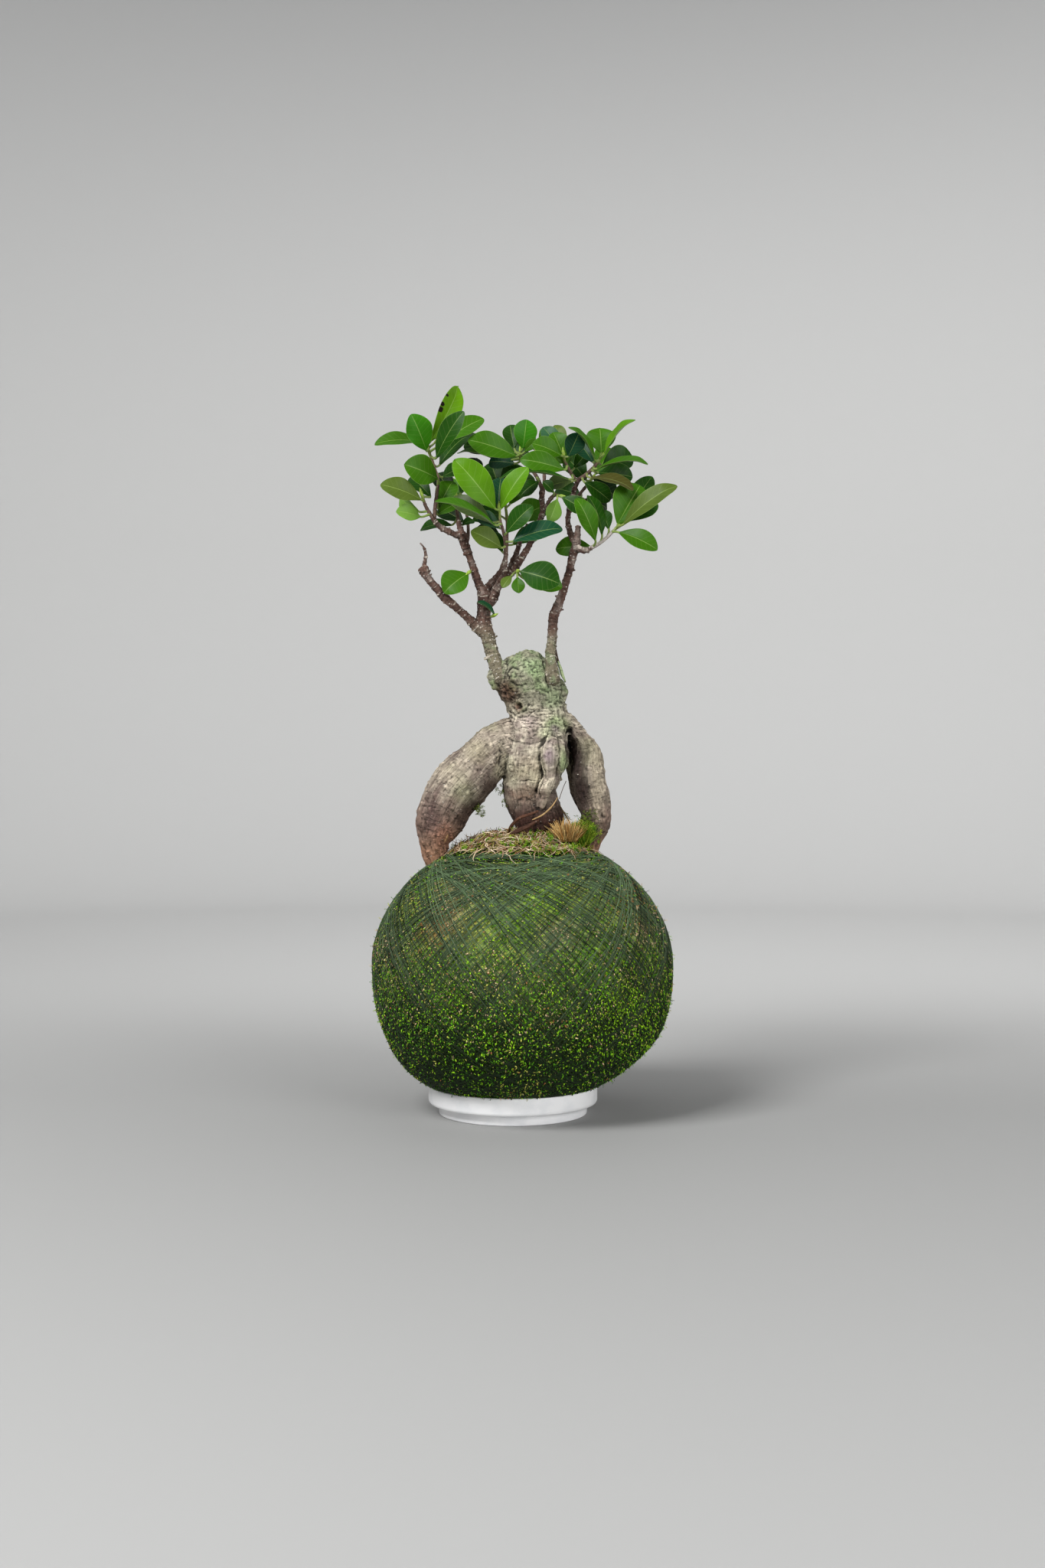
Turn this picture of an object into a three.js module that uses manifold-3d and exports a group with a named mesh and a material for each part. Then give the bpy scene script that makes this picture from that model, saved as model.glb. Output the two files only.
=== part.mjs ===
// A kokedama: a ginseng ficus with two grafted branches, its swollen roots standing in a
// moss-wrapped, thread-bound ball of soil that rests in a shallow round saucer.
// Millimetres, +Z up, origin at the centre of the saucer's underside, front towards -Y.

import * as THREE from 'three';
import { mergeVertices } from 'three/addons/utils/BufferGeometryUtils.js';
import Module from 'manifold-3d';

const wasm = await Module();
wasm.setup();

// ---------------------------------------------------------------- driving dimensions

// Outlines are read as they show from straight in front, by an eye at this place. `seen`
// carries a reading taken in the plane y = 0 back along its sight line to its real depth.
const EYE = { x: 6.4, y: -1147.3, z: 219 };

const GAP = 0.5; // between neighbouring pieces
const FINEST = 0.03; // the smallest step that a surface keeps

const SAUCER = {
  footRadius: 49.4, footHeight: 7.2, rimRadius: 56.3, height: 19, rimThickness: 1.6,
  floor: 4, floorRadius: 44.5, chamfer: 1.2, sides: 36,
};

// The ball is round at every level: two flattened domes that meet at its widest one. It
// stands on the saucer's middle and leans to the right by `shift` below `leanTop`.
const BALL = {
  shift: 6.4, leanFoot: 14, leanTop: 60, middle: 102, radius: 99, rise: 83, drop: 94.6,
  risePower: 1.8, dropPower: 2.65, mouth: 169, seatTop: 22.5, seatBottom: 4.35, sides: 32,
};
const JACKET = { thickness: 8.5, lining: 6, outside: 11 }; // and its levels inside and out
const SOIL_TOP = 158;

const MOUND = { crest: 187, lip: 169.8, rim: 55.5, skirt: 158.5, sides: 20, relief: 1.1 };

const THREAD = { radius: 0.65, lift: 1.45, loops: 5, tilt: 50, tiltSpread: 4, steps: 34, sides: 3 };

const BLADE = { rib: 1.3, fold: 0.16, arch: 0.08, petiole: 0.75, narrow: 12.5 };
const STATIONS = { wide: [0.18, 0.46, 0.74, 0.93], narrow: [0.22, 0.58, 0.88] };

const LIMB_SIDES = { trunk: 8, branch: 6, shoot: 4 };
const TRUNK_DEPTH_RATIO = 0.86;
const DOME = 0.45; // how far a limb's end stands out, as a share of its radius

const COLOUR = {
  saucer: 0xe9e9ea, soil: 0x3b2b1f, moss: 0x4f6626, thread: 0x2f4a3c, dryMoss: 0xa08a52,
  rust: 0x9a6a2e, tuft: 0x7fa32c, trunk: 0x9a917a, branch: 0x6e6258, leaf: 0x4f7f24,
};

// ---------------------------------------------------------------- helpers

const { Vector3 } = THREE;

function seen(x, z, y) {
  const spread = (y - EYE.y) / -EYE.y;
  return new Vector3(EYE.x + (x - EYE.x) * spread, y, EYE.z + (z - EYE.z) * spread);
}

function finish(colour, roughness) {
  return new THREE.MeshStandardMaterial({ color: colour, roughness, metalness: 0 });
}

// A closed solid from corner points and triangles, turned outwards if it is inside out.
function solidFrom(points, triangles) {
  let volume = 0;
  for (const [a, b, c] of triangles) {
    volume += points[a].dot(new Vector3().crossVectors(points[b], points[c]));
  }
  const outward = volume > 0 ? triangles : triangles.map(([a, b, c]) => [a, c, b]);
  const vertProperties = new Float32Array(points.flatMap((p) => p.toArray()));
  return new wasm.Manifold(new wasm.Mesh({
    numProp: 3, vertProperties, triVerts: new Uint32Array(outward.flat()),
  }));
}

function solidOf(geometry) {
  const bare = geometry.clone();
  bare.deleteAttribute('normal');
  bare.deleteAttribute('uv');
  const merged = mergeVertices(bare, 1e-4);
  const position = merged.getAttribute('position');
  const points = [];
  for (let i = 0; i < position.count; i += 1) {
    points.push(new Vector3().fromBufferAttribute(position, i));
  }
  const index = merged.getIndex().array;
  const triangles = [];
  for (let i = 0; i < index.length; i += 3) {
    const face = [index[i], index[i + 1], index[i + 2]];
    if (new Set(face).size === 3) triangles.push(face);
  }
  return solidFrom(points, triangles);
}

// The largest piece of a solid, so that no loose scrap stays after a cut.
function largest(solid) {
  return solid.decompose().sort((a, b) => b.volume() - a.volume())[0];
}

function meshOf(name, solid, material) {
  const { vertProperties, triVerts } = largest(solid.simplify(FINEST)).getMesh();
  const geometry = new THREE.BufferGeometry();
  geometry.setAttribute('position', new THREE.BufferAttribute(vertProperties, 3));
  geometry.setIndex(new THREE.BufferAttribute(triVerts, 1));
  geometry.computeVertexNormals();
  const mesh = new THREE.Mesh(geometry, material);
  mesh.name = name;
  return mesh;
}

// A turned shape from its profile [radius, height], with each level moved along X and each
// height changed as asked.
function lathe(profile, sides, shiftAt = () => 0, heightAt = (x, y, z) => z) {
  const points = profile.map(([r, z]) => new THREE.Vector2(r, z));
  const geometry = new THREE.LatheGeometry(points, sides);
  geometry.rotateX(Math.PI / 2);
  const position = geometry.getAttribute('position');
  for (let i = 0; i < position.count; i += 1) {
    const [x, y, z] = [position.getX(i), position.getY(i), position.getZ(i)];
    position.setXYZ(i, x + shiftAt(z), y, heightAt(x, y, z));
  }
  return solidOf(geometry);
}

// A closed tube through rings of points, with a pole at each end.
function skin(rings, firstPole, lastPole) {
  const sides = rings[0].length;
  const points = [...rings.flat(), firstPole, lastPole];
  const first = points.length - 2;
  const last = points.length - 1;
  const triangles = [];
  for (let i = 0; i < sides; i += 1) {
    const j = (i + 1) % sides;
    triangles.push([first, j, i]);
    triangles.push([last, (rings.length - 1) * sides + i, (rings.length - 1) * sides + j]);
    for (let k = 0; k < rings.length - 1; k += 1) {
      const [a, b, c, d] = [k * sides + i, k * sides + j, (k + 1) * sides + j, (k + 1) * sides + i];
      triangles.push([a, b, c], [a, c, d]);
    }
  }
  return solidFrom(points, triangles);
}

// A limb is swept along a smooth curve through its rows [x, z, depth, radius], as seen from
// the front. Its section is round, flattened in depth by `flat`, and its ends are domed.
function limb(rows, { sides, grow = 0, flat = 1, knobs = 0 }) {
  const curve = new THREE.CatmullRomCurve3(rows.map(([x, z, y]) => seen(x, z, y)));
  const last = rows.length - 1;
  const rings = rows.map(([, , , radius], i) => {
    const along = curve.getTangent(i / last);
    const side = new Vector3(0, 1, 0).cross(along).normalize();
    const back = new Vector3().crossVectors(along, side);
    const centre = curve.getPoint(i / last);
    return Array.from({ length: sides }, (_, n) => {
      const angle = (2 * Math.PI * n) / sides;
      const reach = radius * (1 + knobs * Math.sin(1.9 * i + 2 * angle));
      return centre.clone().addScaledVector(side, (reach + grow) * Math.cos(angle))
        .addScaledVector(back, (flat * reach + grow) * Math.sin(angle));
    });
  });
  const pole = (t, reach) => curve.getPoint(t).addScaledVector(curve.getTangent(t), reach);
  const headPole = pole(0, -DOME * rows[0][3] - grow);
  return skin(rings, headPole, pole(1, DOME * rows[last][3] + grow));
}

function fuse(solids) {
  return wasm.Manifold.union(solids);
}

// ---------------------------------------------------------------- saucer, soil and moss

function saucer() {
  const s = SAUCER;
  const wallTop = s.rimRadius - s.rimThickness;
  return lathe([
    [0, 0], [s.footRadius - s.chamfer, 0], [s.footRadius, s.chamfer], [s.footRadius, s.footHeight],
    [s.rimRadius - s.chamfer, s.footHeight], [s.rimRadius, s.footHeight + s.chamfer],
    [s.rimRadius, s.height - s.chamfer], [s.rimRadius - s.chamfer / 2, s.height],
    [wallTop, s.height], [wallTop - 4, s.height / 2 + 1], [s.floorRadius, s.floor], [0, s.floor],
  ], s.sides);
}

// The ball's radius at a height, grown outwards or, with a negative value, shrunk.
function ballRadius(z, grow = 0) {
  const above = z > BALL.middle;
  const reach = (above ? BALL.rise : BALL.drop) + grow;
  const power = above ? BALL.risePower : BALL.dropPower;
  const part = Math.min(Math.abs(z - BALL.middle) / reach, 1);
  return (BALL.radius + grow) * Math.sqrt(1 - part ** power);
}

// How far the ball's middle has moved along X at a height.
function ballShift(z) {
  return BALL.shift * THREE.MathUtils.smoothstep(z, BALL.leanFoot, BALL.leanTop);
}

function ballProfile(from, to, steps, grow = 0) {
  return Array.from({ length: steps + 1 }, (_, i) => {
    const z = THREE.MathUtils.lerp(from, to, i / steps);
    return [ballRadius(z, grow), z];
  });
}

// Where the ball sits in the saucer it is flattened to a disc and rounds up to the rim.
function jacket() {
  const { seatBottom, seatTop, mouth, sides } = BALL;
  const seat = [[0, seatBottom], [30, seatBottom], [38, 6.8], [43, 10.2], [47, 14.8], [53.4, 19.4]];
  const outside = ballProfile(seatTop, mouth, JACKET.outside);
  return lathe([...seat, ...outside, ...lining(0).reverse()], sides, ballShift);
}

// The inside of the jacket, shrunk by `inset`, from the middle of its bottom to its mouth.
function lining(inset) {
  const grow = -JACKET.thickness - inset;
  const bottom = BALL.middle - BALL.drop - grow;
  return [[0, bottom], ...ballProfile(bottom + 2, BALL.mouth - 2, JACKET.lining, grow)];
}

function soil() {
  const full = lathe([...lining(0.8), [0, BALL.mouth - 2]], BALL.sides, ballShift);
  return full.trimByPlane([0, 0, -1], -SOIL_TOP);
}

// Loose dry moss heaped round the roots: a mound with a lumpy crown over the ball's mouth.
function mound() {
  const m = MOUND;
  const neck = ballRadius(BALL.mouth - 2, -JACKET.thickness) - 1;
  const crown = [[m.rim, m.lip + 1.2], [52, m.lip + 3], [46, 176.5], [36, 180.5], [20, m.crest - 2]];
  const profile = [
    [0, m.skirt], [neck - 1, m.skirt], [neck, m.lip - 0.6], [neck + 2, m.lip], [m.rim, m.lip],
    ...crown, [0, m.crest],
  ];
  const lumps = (x, y, z) => {
    const height = Math.sin(0.31 * x + 1) + Math.cos(0.27 * y - 0.2 * x);
    return z > m.lip + 2 ? z + m.relief * height : z;
  };
  return lathe(profile, m.sides, ballShift, lumps);
}

// One turn of binding thread: a great circle tilted to the level, laid on the ball.
function threadLoop(turn) {
  const t = THREAD;
  const tilt = THREE.MathUtils.degToRad(t.tilt + t.tiltSpread * Math.sin(2.4 * turn));
  const heading = (2 * Math.PI * turn) / t.loops + 0.25 * Math.sin(5.1 * turn);
  const across = new Vector3(Math.cos(heading), Math.sin(heading), 0);
  const rising = new Vector3(-Math.sin(heading), Math.cos(heading), 0).multiplyScalar(Math.cos(tilt));
  rising.z = Math.sin(tilt);
  const place = (angle, lift) => {
    const d = across.clone().multiplyScalar(Math.cos(angle)).addScaledVector(rising, Math.sin(angle));
    const z = BALL.middle + d.z * ((d.z > 0 ? BALL.rise : BALL.drop) + lift);
    const radius = ballRadius(z, lift);
    const spin = Math.atan2(d.y, d.x);
    return new Vector3(ballShift(z) + radius * Math.cos(spin), radius * Math.sin(spin), z);
  };
  const points = [];
  const triangles = [];
  for (let i = 0; i < t.steps; i += 1) {
    const angle = (2 * Math.PI * i) / t.steps;
    const centre = place(angle, t.lift);
    const out = place(angle, t.lift + 1).sub(centre).normalize();
    const along = place(angle + 0.01, t.lift).sub(centre).normalize();
    const side = new Vector3().crossVectors(along, out);
    for (let n = 0; n < t.sides; n += 1) {
      const spin = (2 * Math.PI * n) / t.sides;
      points.push(centre.clone().addScaledVector(out, t.radius * Math.cos(spin))
        .addScaledVector(side, t.radius * Math.sin(spin)));
      const [a, b] = [i * t.sides + n, i * t.sides + ((n + 1) % t.sides)];
      const [c, d] = [(a + t.sides) % (t.steps * t.sides), (b + t.sides) % (t.steps * t.sides)];
      triangles.push([a, b, d], [a, d, c]);
    }
  }
  return solidFrom(points, triangles);
}

function bindingThread() {
  return fuse(Array.from({ length: THREAD.loops }, (_, turn) => threadLoop(turn)));
}

// A tuft of living moss: three-sided spikes fanned out of a small cushion.
function tuft({ x, z, y, radius, spikes, reach, lean }) {
  const foot = seen(x, z, y);
  const cushion = new THREE.SphereGeometry(radius, 10, 6);
  cushion.scale(1, 0.9, 0.6);
  cushion.translate(foot.x, foot.y, foot.z);
  const solids = [solidOf(cushion)];
  for (let i = 0; i < spikes; i += 1) {
    const share = (i + 0.5) / spikes;
    const spin = i * 2.4;
    const tip = new Vector3(Math.cos(spin), Math.sin(spin), 0).multiplyScalar(lean * Math.sqrt(share));
    tip.z = 1.25 - share;
    tip.normalize();
    const root = foot.clone().addScaledVector(tip, radius * 0.35);
    const spike = new THREE.ConeGeometry(0.9, reach * (0.75 + 0.25 * Math.sin(i * 1.7)), 3);
    spike.translate(0, spike.parameters.height / 2, 0);
    spike.applyQuaternion(new THREE.Quaternion().setFromUnitVectors(new Vector3(0, 1, 0), tip));
    spike.translate(root.x, root.y, root.z);
    solids.push(solidOf(spike));
  }
  return fuse(solids);
}

// ---------------------------------------------------------------- trunk and roots

// Rows of every limb: [x, z, depth, radius].
const TRUNK_LIMBS = {
  column: [
    [9.3, 302, 0, 14.5], [9, 297, 0, 18.6], [8.5, 290, 0, 21.5], [13, 281, 0, 20.5], [15.5, 273, 0, 19.2],
    [17.5, 266, 0, 18.6], [17, 256, 0, 21], [14, 245, 0, 22], [13.5, 235, 0, 22], [12.5, 225, 0, 20],
    [10.8, 216, 0, 17.4], [12.6, 208, 0, 16.8], [15.6, 201, 0, 17], [17.5, 195, 0, 17], [17.5, 187, 0, 15],
    [17, 172, 0, 12], [14, 150, 0, 7.5],
  ],
  leftArm: [
    [7, 250, 0, 14], [-6, 246, -1, 15.5], [-19.5, 234.5, -3, 17], [-28, 226, -4, 18.5],
    [-35, 218.5, -5, 18.6], [-40.5, 211.5, -6, 18.2], [-45, 204, -6, 17.6], [-48.5, 195.5, -6, 16.2],
    [-51.3, 187.3, -6, 13.6], [-52.5, 179.5, -5, 10.3], [-51, 170, -4, 8.3], [-46, 158, -3, 6.4],
    [-40, 146, -2, 3.6],
  ],
  rightArm: [
    [31, 261, -2, 8.5], [39.5, 257.5, -3, 5.6], [45.3, 251.5, -4, 5.2], [49.2, 245, -5, 6.5],
    [50.5, 237, -5, 8.7], [50, 227.5, -5, 11.5], [51, 217.5, -5, 11.8], [53.3, 209.5, -5, 11.3],
    [55.5, 202, -5, 10.4], [57, 194.5, -5, 9], [56.6, 188.5, -5, 7], [54.5, 181, -5, 4.8],
    [52, 172, -5, 4], [48, 160, -5, 3.4], [44, 148, -5, 2.2],
  ],
  rightRearArm: [
    [35, 256, 6, 7], [40.5, 248, 8, 8], [42.5, 238, 10, 8.5], [44, 226, 12, 7.6], [46.5, 212, 13, 7],
    [51, 199, 13, 5.7], [49, 186, 12, 5.3], [45, 172, 11, 4.6], [40, 158, 9, 3.4],
  ],
  hangingRoot: [
    [25.5, 249, -15, 5], [24.5, 243, -18, 5.7], [24.5, 236, -20, 5.9], [24.3, 229, -20, 4.6],
    [24.2, 223.5, -19.5, 3.6], [22, 217.5, -19, 4.9], [20.3, 212, -17, 4.2], [18, 204, -14, 3.2],
  ],
  hangingKnuckle: [
    [30, 247, -12, 4.5], [32.5, 240, -15, 4.7], [32.3, 232, -15, 4.6], [31.5, 227, -14, 2.6],
  ],
  backRoot: [
    [12, 252, 9, 11], [10, 238, 17, 11.5], [7.5, 222, 25, 10], [8, 205, 31, 8.2], [10.5, 188, 33, 6.6],
    [11.5, 172, 32, 5], [12, 156, 29, 3.2],
  ],
  backRightRoot: [
    [22, 246, 10, 9], [21.5, 232, 19, 8], [20.5, 216, 27, 6.4], [21.5, 199, 31, 5.6], [22.5, 182, 31, 4.6],
    [22, 166, 28, 3.2],
  ],
  splitRoot: [[9, 206, -9, 7.5], [8.5, 197, -11, 7], [10, 188, -11, 5.6], [12, 174, -9, 4]],
  shelf: [[24.5, 288, -3, 5.5], [31.5, 283, -3, 4.6], [30.5, 275, -3, 5.5]],
  crownLump: [[-4, 297, -4, 7.5], [-9, 291, -5, 7.2], [-9, 283, -4, 5]],
  crownRidge: [[6, 298, 1, 9], [13, 300.5, 0, 9], [18, 302.5, 0, 6]],
};

const TRUNK_KNOBS = [
  { x: -0.5, z: 293, y: -16.5, r: 3.6 }, { x: 12.5, z: 301, y: -12, r: 3 },
  { x: 4, z: 270.5, y: -12.5, r: 4.4 }, { x: -13, z: 291, y: -6, r: 3.4 },
  { x: 15, z: 296, y: -14.5, r: 2.4 },
];

function knob({ x, z, y, r }, grow) {
  const place = seen(x, z, y);
  const ball = new THREE.SphereGeometry(r + grow, 8, 6);
  ball.scale(1, 0.8, 1);
  ball.translate(place.x, place.y, place.z);
  return solidOf(ball);
}

function trunk(grow = 0) {
  const shape = { sides: LIMB_SIDES.trunk, grow, flat: TRUNK_DEPTH_RATIO, knobs: 0.035 };
  const limbs = Object.values(TRUNK_LIMBS).map((rows) => limb(rows, shape));
  return fuse([...limbs, ...TRUNK_KNOBS.map((one) => knob(one, grow))]);
}

// ---------------------------------------------------------------- grafted branches

const LEFT_BRANCH = {
  stem: [
    [-6.5, 288, -9, 5.4], [-10.5, 297, -6, 5.1], [-14, 307, -3, 4.7], [-17, 318, -1, 4.8],
    [-19.5, 325, 0, 5.2], [-19.5, 335, 0, 4.5], [-19, 345, 0, 5], [-20, 350, -1, 4],
  ],
  deadBranch: [
    [-19, 320, 0, 4], [-24, 324, -1, 3.8], [-30, 330, -3, 2.8], [-38, 337, -6, 2.7], [-45, 343, -8, 3],
    [-52, 351, -10, 2.6], [-58, 358, -12, 2.8], [-60, 363, -12, 3.8],
  ],
  deadTwig: [[-59.5, 364, -12, 1.4], [-58.3, 372, -11, 1], [-59.5, 377, -11, 0.9], [-62, 380, -11, 0.7]],
  leftArm: [
    [-19, 346, 0, 3.6], [-23, 353, -2, 2.8], [-26, 362, -4, 2.6], [-29, 371, -6, 2.6], [-32, 379, -8, 3],
    [-34, 385, -10, 3.3], [-38, 385.5, -11, 2.3], [-43, 387.5, -13, 1.9], [-49, 391, -15, 1.8],
    [-54, 397, -17, 1.7],
  ],
  upperTwig: [[-34, 384, -10, 2.6], [-35, 389, -8, 2], [-36.3, 394, -5, 1.7]],
  rearArm: [[-18, 345, 1, 3.4], [-16, 351, 5, 2.6], [-12, 356, 10, 2.2], [-7, 362, 16, 2]],
  frontArm: [
    [-18, 339, 0, 3.6], [-14, 342, -1, 3.5], [-11, 349, -3, 3], [-6, 356, -6, 3], [0, 362, -8, 2.8],
    [5, 369, -9, 2.5], [10, 377, -8, 2.1], [13.5, 384, -7, 1.9], [18, 395, -5, 1.8], [20, 402, -4, 2],
    [19.2, 410, -2, 1.7], [19.5, 418, 0, 1.6],
  ],
  darkArm: [[-3, 361, -6, 2], [-1, 366, 0, 1.7], [3, 375, 4, 1.7], [6, 385, 6, 1.5], [10, 392, 8, 1.5]],
  vertical: [[-6, 356, -7, 1.8], [-5.5, 361, -11, 1.6], [-5, 367, -14, 1.6], [-4.6, 375, -17, 1.4]],
  innerTwig: [[19.5, 401, -4.5, 1.6], [23, 406, -6, 1.3], [26, 411, -8, 1.3]],
};

const RIGHT_BRANCH = {
  stem: [
    [27, 286, -13, 4.2], [26.2, 292, -12, 4.6], [25.5, 299, -9, 4.1], [25, 306, -6, 3.6],
    [26, 314, -3, 3.1], [26.5, 322, -1, 3.2], [27.2, 331, 1, 3.5], [30, 338, 1, 3], [33, 346, 0, 2.7],
    [35.5, 354, 0, 2.6], [38, 363, -1, 2.5], [40, 371, -2, 2.7], [42, 378, -4, 3], [43, 385, -5, 2.3],
    [43.5, 391, -5, 1.7],
  ],
  upperFork: [
    [41, 381, -4, 2.2], [38.3, 387, -2, 1.9], [36.6, 395, 0, 1.8], [38, 403, 2, 1.7], [40, 411, 4, 1.6],
    [42, 418, 5, 1.6], [44, 423, 6, 1.7],
  ],
  lowerTwig: [[42, 377, -5, 2.4], [48, 375, -8, 2], [53, 377, -10, 1.5]],
};

function branch(limbs, grow = 0) {
  const shape = { sides: LIMB_SIDES.branch, grow };
  return fuse(Object.values(limbs).map((rows) => limb(rows, shape)));
}

// ---------------------------------------------------------------- leaves

// How wide a blade is, as a share of its full width, a share `u` along it: egg-shaped,
// widest past the middle, with a blunt point.
function bladeShape(u) {
  return Math.sin(Math.PI * u ** 1.3) ** 0.6;
}

// The directions of a blade from its base to its tip: `axis` along it, `face` out of its
// upper side and `span` across it. `turn` rolls the upper side from the front to the sky.
function bladeFrame(base, tip, turn) {
  const axis = new Vector3().subVectors(tip, base).normalize();
  const front = new Vector3(0, -1, 0);
  const normal = front.addScaledVector(axis, -front.dot(axis)).normalize();
  const side = new Vector3().crossVectors(axis, normal);
  if (side.z + 0.3 * side.x * Math.sign(base.x - EYE.x) < 0) side.negate();
  const roll = THREE.MathUtils.degToRad(turn);
  const face = normal.clone().multiplyScalar(Math.cos(roll)).addScaledVector(side, Math.sin(roll));
  return { axis, face, span: new Vector3().crossVectors(axis, face) };
}

// A leaf on its stalk, from a place `from` inside the shoot. At each station of the blade
// the section is a thin V, thick at the rib and fine at its edges: folded up along the rib
// and arched along its length. The stalk's sections are small squares.
function leaf(from, base, tip, width, turn) {
  const { axis, face, span } = bladeFrame(base, tip, turn);
  const length = base.distanceTo(tip);
  const section = (centre, half, lift, rib, across, up) => [
    centre.clone().addScaledVector(across, half).addScaledVector(up, lift),
    centre.clone().addScaledVector(up, rib),
    centre.clone().addScaledVector(across, -half).addScaledVector(up, lift),
    centre.clone().addScaledVector(up, -rib),
  ];
  const stalkWay = new Vector3().subVectors(base, from).normalize();
  const stalkSection = (centre, share) => {
    const way = axis.clone().lerp(stalkWay, share).normalize();
    const bend = new THREE.Quaternion().setFromUnitVectors(axis, way);
    const [across, up] = [span.clone().applyQuaternion(bend), face.clone().applyQuaternion(bend)];
    return section(centre, BLADE.petiole, 0, BLADE.petiole, across, up);
  };
  const stations = width > BLADE.narrow ? STATIONS.wide : STATIONS.narrow;
  const bladeSections = stations.map((u) => {
    const half = (width / 2) * bladeShape(u);
    const centre = base.clone().addScaledVector(axis, u * length)
      .addScaledVector(face, BLADE.arch * length * 4 * u * (1 - u));
    return section(centre, half, BLADE.fold * 2 * half, BLADE.rib / 2, span, face);
  });
  const rows = [stalkSection(from, 1), stalkSection(base, 0.5), ...bladeSections];
  return solidFrom([...rows.flat(), from, tip], leafFaces(rows.length));
}

// Triangles split alike on the upper and lower side, so that the two never cross.
function leafFaces(rows) {
  const [root, tip] = [4 * rows, 4 * rows + 1];
  const faces = [];
  for (const [edge, rib, order] of [[0, 1, 1], [2, 1, -1], [2, 3, 1], [0, 3, -1]]) {
    const add = (a, b, c) => faces.push(order > 0 ? [a, b, c] : [a, c, b]);
    add(root, rib, edge);
    for (let here = 0; here < 4 * (rows - 1); here += 4) {
      add(here + edge, here + rib, here + 4 + rib);
      add(here + edge, here + 4 + rib, here + 4 + edge);
    }
    add(tip, 4 * (rows - 1) + edge, 4 * (rows - 1) + rib);
  }
  return faces;
}

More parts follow.
